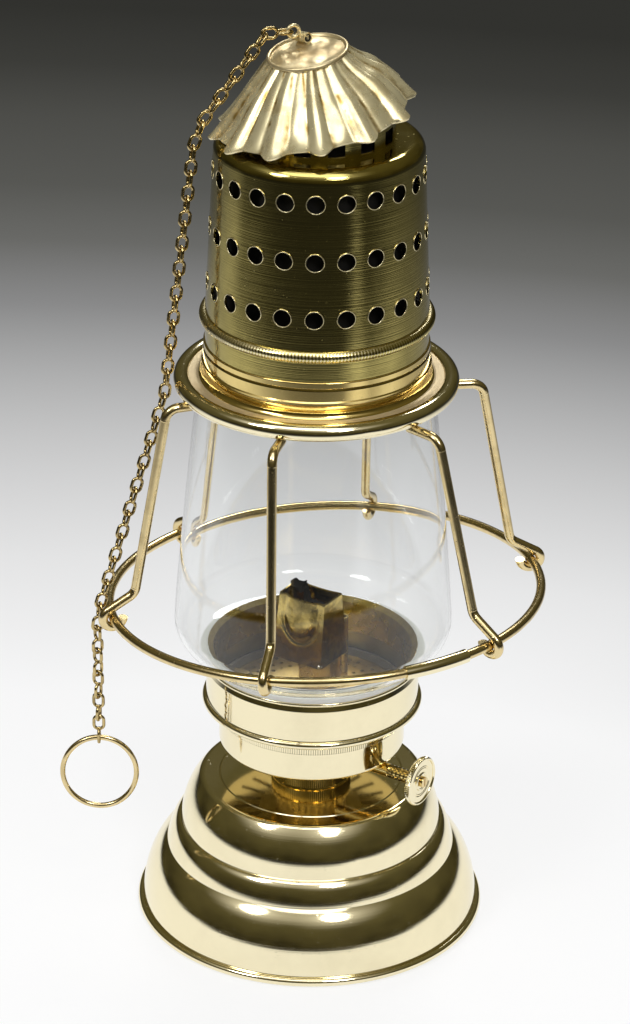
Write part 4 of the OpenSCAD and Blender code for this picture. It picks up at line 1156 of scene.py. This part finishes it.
class LANTERN_OT_crown(bpy.types.Operator):
    """Fluted crown, its dented disc and the eye's tube"""

    bl_idname = "lantern.crown"
    bl_label = "Crown"

    def execute(self, context):
        seat = Matrix.Translation(Vector((CROWN_SHIFT, 0, CROWN_Z)) * MM)
        lean = seat @ Matrix.Rotation(CROWN_LEAN, 4, "Y")
        flutes = sizes().flute_count
        rows = 30
        line = []
        for t in range(rows + 1):
            line.append((CROWN_TOP_RADIUS + CROWN_REACH * t / rows, CROWN_RISE * (1 - t / rows) ** 1.2))
        bm = spin_profile(line, 24 * flutes, RIDGE_START, closed=False)
        for face in bm.faces:
            if face.normal.z < 0:
                face.normal_flip()
        for v in bm.verts:
            self.press(v, flutes)
        bmesh.ops.solidify(bm, geom=bm.faces[:], thickness=0.0006)
        move(bm, lean)
        bm.normal_update()
        make_piece("crown_fluted", bm, "hood", [crown_brass()], ["crown"], 50)
        self.disc(lean)
        self.knuckle()
        return {"FINISHED"}

    def knuckle(self):
        """Open tube that holds the eye on the disc."""
        bm = spin_profile([(1.15, 0.0), (1.6, 0.0), (1.6, 4.0), (1.15, 4.0)], 48)
        # The tube's inside gets the black of painted shade.
        line_inside(bm, -1e-9)
        way = math.radians(-48)
        along = Vector((math.cos(way), math.sin(way), 0.12))
        seat = Matrix.Translation(Vector((-6.4, 8.8, 281.2)) * MM)
        turned = along.to_track_quat("Z", "Y").to_matrix().to_4x4()
        move(bm, seat @ turned)
        make_piece("eye_knuckle", bm, "hood", [crown_brass(), sooty_shade()], (), 40)

    def place(self, way, flutes):
        """Distance from the nearest ridge, as a share of the pitch. The ridges aren't quite even."""
        at = (way - RIDGE_START) * flutes / TURN + 0.10 * noise.noise(Vector((way * 1.3, 5.0, 0)))
        return abs(at - round(at))

    def press(self, v, flutes):
        """Raises round ridges with flat panels between, and drops a lobe at each ridge's end."""
        r = math.hypot(v.co.x, v.co.y)
        way = math.atan2(v.co.y, v.co.x)
        t = clamped((r / MM - CROWN_TOP_RADIUS) / CROWN_REACH)
        place = self.place(way, flutes)
        edge = 0.28
        ridge = math.cos(math.pi / 2 * min(place / edge, 1.0)) ** 1.3
        panel = 0.25 * math.sin(math.pi * max(place - edge, 0.0) / 0.44)
        rise = sizes().flute_depth * MM * (0.35 + 0.65 * t) * (ridge + panel - 0.4)
        lobe = 2.4 * MM * t ** 4 * (ridge - 0.35)
        dent = noise.noise(v.co * 150.0) * 0.0005 * t
        across, upward = 0.756, 0.654
        out = across * (rise + dent) + upward * lobe
        v.co.x += math.cos(way) * out
        v.co.y += math.sin(way) * out
        v.co.z += upward * (rise + dent) - across * lobe
        lift = 3.4 * MM
        right = max(math.cos(way), 0.0)
        v.co.z += lift * math.sin(math.pi * t ** 1.6) * right
        v.co.z += lift * t ** 1.5 * max(math.cos(way - math.radians(40)), 0.0) ** 2
        v.co.x -= 1.2 * MM * t * right
        self.sink(v, (1 - t) ** 3)

    def sink(self, v, share):
        """Bent top of the crown: lower, a little to the right and tipped to the front."""
        v.co.z += share * (0.096 * v.co.y - 1.3 * MM)
        v.co.x += share * 1.1 * MM

    def disc(self, lean):
        """Dented disc with a rolled edge."""
        steps, face_z = 96, 20.65
        outline = [(10.6 - 0.5 * k, face_z) for k in range(0, 21)]
        profile = arc((11.3, 20.7), 0.6, -110, 170, 14) + outline + [(0.0, face_z)]
        bm = spin_profile(profile, steps, closed=False)
        bmesh.ops.recalc_face_normals(bm, faces=bm.faces)
        for v in bm.verts:
            r = math.hypot(v.co.x, v.co.y)
            dent = noise.noise(v.co * 120.0) * 0.0010 + noise.noise(v.co * 300.0) * 0.0003 - 0.0001
            v.co.z += clamped((10.4 - r / MM) / 2.5) * dent
            self.sink(v, 1.0)
        move(bm, lean)
        make_piece("crown_disc_dented", bm, "hood", [disc_brass()], ["crown_disc"], 50)


class LANTERN_OT_ring(bpy.types.Operator):
    """Finger ring, bent a little oval by hand"""

    bl_idname = "lantern.ring"
    bl_label = "Finger ring"

    def execute(self, context):
        middle = Vector((-64.907, -13.602, 52.272)) * MM
        radius = 11.3 * MM
        bm = bmesh.new()
        wire_loop(bm, Matrix.Translation(middle + Vector((radius, 0, 0))), 16, 0.8, middle, (0, 1, 0), 96)
        bmesh.ops.remove_doubles(bm, verts=bm.verts, dist=1e-7)
        top = middle.z + radius
        for v in bm.verts:
            v.co.z = top + (v.co.z - top) * 1.07
            v.co.y += 0.0004 * noise.noise(v.co * 60.0)
        bmesh.ops.recalc_face_normals(bm, faces=bm.faces)
        make_piece("finger_ring_bent", bm, "ring", [wire_brass()], ["finger_ring"], 60)
        return {"FINISHED"}


class LANTERN_OT_finishes(bpy.types.Operator):
    """Puts the finishes on the solids that stay as they are"""

    bl_idname = "lantern.finishes"
    bl_label = "Finishes"

    def execute(self, context):
        plan = {
            cup_brass: ["burner_cup"],
            polished_brass: ["spindle_sleeve", "hoop_ferrule", "font_shell", "font_screw_collar",
                             "globe_collar", "top_flange", "thumb_knob"],
            hood_brass: ["hood_shell", "vent_neck"],
            # The wind liner is all black: painted shade seen through the hood's air holes.
            sooty_shade: ["wind_liner"],
            crown_brass: ["crown", "crown_disc", "top_eye"],
            wire_brass: ["guard_hoop", "finger_ring", "wick_spindle"] +
                        ["guard_wire_%d" % k for k in range(1, 7)],
            chain_brass: ["chain_crown", "chain_upper", "chain_lower", "chain_tail"],
            plate_brass: ["air_plate"],
            burner_brass: ["font_base_plate", "burner_neck", "wick_tube", "flame_deflector", "vent_tube"],
            spur_steel: ["spur_wheels"],
            clear_glass: ["glass_globe"],
            cement: ["lower_seal", "upper_seal"],
            wick_cotton: ["wick"],
        }
        for make, names in plan.items():
            material = make()
            for name in names:
                mesh = NODES[name].data
                mesh.materials.clear()
                mesh.materials.append(material)
        return {"FINISHED"}


class LANTERN_OT_stage(bpy.types.Operator):
    """Pale floor, world, soft lamps and the camera"""

    bl_idname = "lantern.stage"
    bl_label = "Studio"

    def execute(self, context):
        self.floor()
        self.world()
        self.lamps()
        self.camera()
        context.scene.view_settings.view_transform = "Standard"
        return {"FINISHED"}

    def floor(self):
        """Pale floor with a painted pool of light that darkens away from the lantern, and shows part of its
        tone without shadow.
        """
        bm = bmesh.new()
        bmesh.ops.create_circle(bm, cap_ends=True, radius=6.0, segments=96)
        mesh = mesh_of("studio_floor", bm)
        floor = add_object("studio_floor", mesh)
        floor.location.z = -0.0002
        shadowless = 0.72
        material, tree, shader = new_material("studio_floor")
        shader.inputs["Roughness"].default_value = 0.9
        shader.inputs["Specular IOR Level"].default_value = 0.0
        tone = self.painted_floor_light(tree)
        feed(tree, tone, shader.inputs["Base Color"])
        glow = node(tree, "ShaderNodeEmission")
        feed(tree, tone, glow.inputs["Color"])
        seen = seen_rays(tree, node(tree, "ShaderNodeLightPath").outputs)
        mix_surface(tree, maths(tree, "MULTIPLY", seen, shadowless), shader.outputs["BSDF"],
                    glow.outputs["Emission"], "Material Output")
        mesh.materials.append(material)

    def painted_floor_light(self, tree):
        """Painted light: a pool of light by distance in metres, apart behind and ahead, with a painted
        strip of light ahead on the right.
        """
        far_behind = [(0.0, 1.0), (0.15, 0.97), (0.25, 0.81), (0.36, 0.56), (0.486, 0.26), (0.56, 0.145),
                      (0.63, 0.098), (0.72, 0.076), (0.80, 0.047), (0.89, 0.033)]
        far_ahead = [(0.0, 1.0), (0.25, 1.0), (0.31, 0.80), (0.38, 0.38), (0.46, 0.11), (0.56, 0.042),
                     (1.0, 0.022)]
        axes = split_axes(tree, object_coords(tree))
        squeezed = node(tree, "ShaderNodeCombineXYZ")
        feed(tree, maths(tree, "MULTIPLY", axes["X"], 0.65), squeezed.inputs["X"])
        feed(tree, axes["Y"], squeezed.inputs["Y"])
        distance = vector_maths(tree, "LENGTH", squeezed.outputs["Vector"])["Value"]
        sideways = maths(tree, "ADD", maths(tree, "MULTIPLY", axes["X"], 0.135), 0.019)
        behind = self.shade(tree, maths(tree, "ADD", distance, sideways), far_behind)
        # Painted strip of light ahead on the right, which the hood shows as a bright band.
        painted_light_strip = maths(tree, "ADD", maths(tree, "MULTIPLY", axes["X"], 0.766),
                      maths(tree, "MULTIPLY", axes["Y"], 0.643))
        painted_light_strip = ramp_between(tree, maths(tree, "ABSOLUTE", painted_light_strip), 0.11, 0.0)
        nearer = maths(tree, "SUBTRACT", distance, maths(tree, "MULTIPLY", painted_light_strip, 0.2))
        ahead = self.shade(tree, nearer, far_ahead)
        return colour_mix(tree, ramp_between(tree, axes["Y"], -0.08, 0.08), ahead, behind)

    def shade(self, tree, distance, stops):
        """Grey of the floor by distance from the lantern: the painted fall-off of the pool of light."""
        ramp = node(tree, "ShaderNodeValToRGB")
        feed(tree, distance, ramp.inputs["Fac"])
        points = ramp.color_ramp.elements
        while len(points) < len(stops):
            points.new(0.5)
        for point, (place, grey) in zip(points, stops):
            point.position = place
            point.color = (grey, grey, grey * (0.86 + 0.14 * min(grey * 4, 1.0)), 1.0)
        return ramp.outputs["Color"]

    def world(self):
        """Soft light for the scene, a dark room with two glows for reflections, grey for the camera."""
        world = bpy.data.worlds.new("studio")
        bpy.context.scene.world = world
        world.use_nodes = True
        tree = world.node_tree
        soft = tree.nodes["Background"]
        soft.inputs["Color"].default_value = (0.9, 0.92, 0.95, 1.0)
        soft.inputs["Strength"].default_value = 0.35
        dark = node(tree, "ShaderNodeBackground")
        ways = node(tree, "ShaderNodeTexCoord").outputs["Generated"]
        rise = ramp_between(tree, split_axes(tree, ways)["Z"], 0.05, 0.8)
        uneven = ramp_between(tree, noise_at(tree, ways, 2.6, 3.0), 0.35, 0.65)
        low = colour_mix(tree, uneven, (0.024, 0.020, 0.007), (0.064, 0.055, 0.021))
        shown = colour_mix(tree, rise, low, (0.125, 0.110, 0.048))
        for lamp in (LAMP_LEFT, LAMP_RIGHT):
            glow = self.glow(tree, ways, Vector(lamp).normalized())
            shown = colour_mix(tree, glow, shown, (1.0, 0.96, 0.86))
        path = node(tree, "ShaderNodeLightPath").outputs
        shown = colour_mix(tree, path["Is Camera Ray"], shown, (0.024, 0.024, 0.022))
        feed(tree, shown, dark.inputs["Color"])
        mix_surface(tree, seen_rays(tree, path), soft.outputs["Background"], dark.outputs["Background"],
                    "World Output")

    def glow(self, tree, ways, lamp):
        """Soft glow round a lamp, wider than high."""
        away = vector_maths(tree, "SUBTRACT", ways, lamp)["Vector"]
        flat = vector_maths(tree, "MULTIPLY", away, (0.8, 0.8, 1.7))["Vector"]
        far = vector_maths(tree, "LENGTH", flat)["Value"]
        return maths(tree, "POWER", ramp_between(tree, far, 0.55, 0.0), 1.6)

    def lamps(self):
        """Oval lamps that face the lantern: name, place, width, height and power."""
        plan = [
            ("lamp_left", LAMP_LEFT, 0.40, 0.40, 4.4),
            ("lamp_right", LAMP_RIGHT, 0.40, 0.40, 4.4),
            ("lamp_top_panel", (-0.1, -0.55, 1.65), 1.5, 0.8, 6.0),
            ("lamp_back", (0.15, 1.0, 1.1), 0.7, 0.4, 6.0),
        ]
        for name, place, width, height, power in plan:
            lamp = bpy.data.lights.new(name, "AREA")
            lamp.shape = "ELLIPSE"
            lamp.size = width
            lamp.size_y = height
            lamp.energy = power
            holder = add_object(name, lamp)
            holder.location = place
            aim = Vector((0, 0, 0.14)) - Vector(place)
            holder.rotation_euler = aim.to_track_quat("-Z", "Y").to_euler()

    def camera(self):
        """Camera of the photo."""
        focal_px = 3700.0
        pitch = math.radians(26.011)
        roll = math.radians(0.788)
        lens = bpy.data.cameras.new("camera")
        lens.sensor_fit = "AUTO"
        lens.sensor_width = SENSOR_MM
        lens.lens = focal_px / PHOTO_LONG_SIDE * SENSOR_MM
        lens.clip_start = 0.01
        camera = add_object("camera", lens)
        place = Matrix.Translation((0.000139, -0.99953, 0.62220))
        tilt = Matrix.Rotation(math.pi / 2 - pitch, 4, "X")
        camera.matrix_world = place @ tilt @ Matrix.Rotation(roll, 4, "Z")
        bpy.context.scene.camera = camera


OPERATORS = (LANTERN_OT_finishes, LANTERN_OT_font, LANTERN_OT_burner, LANTERN_OT_globe, LANTERN_OT_hood,
             LANTERN_OT_crown, LANTERN_OT_ring, LANTERN_OT_stage)


class LANTERN_PT_sidebar(bpy.types.Panel):
    """Lantern pieces and their sizes"""

    bl_label = "Lantern"
    bl_idname = "LANTERN_PT_sidebar"
    bl_space_type = "VIEW_3D"
    bl_region_type = "UI"
    bl_category = "Lantern"

    def draw(self, context):
        for group in (context.scene.lantern_sizes, context.scene.lantern_finish):
            for key in group.__annotations__:
                self.layout.prop(group, key)
        for operator in OPERATORS:
            self.layout.operator(operator.bl_idname)


CLASSES = (LanternSizes, LanternFinish) + OPERATORS + (LANTERN_PT_sidebar,)


def register():
    for cls in CLASSES:
        bpy.utils.register_class(cls)
    bpy.types.Scene.lantern_sizes = PointerProperty(type=LanternSizes)
    bpy.types.Scene.lantern_finish = PointerProperty(type=LanternFinish)


def unregister():
    del bpy.types.Scene.lantern_finish
    del bpy.types.Scene.lantern_sizes
    for cls in reversed(CLASSES):
        bpy.utils.unregister_class(cls)


def main():
    register()
    bpy.ops.lantern.finishes()
    bpy.ops.lantern.font()
    bpy.ops.lantern.burner()
    bpy.ops.lantern.globe()
    bpy.ops.lantern.hood()
    bpy.ops.lantern.crown()
    bpy.ops.lantern.ring()
    bpy.ops.lantern.stage()


if __name__ == "__main__":
    main()
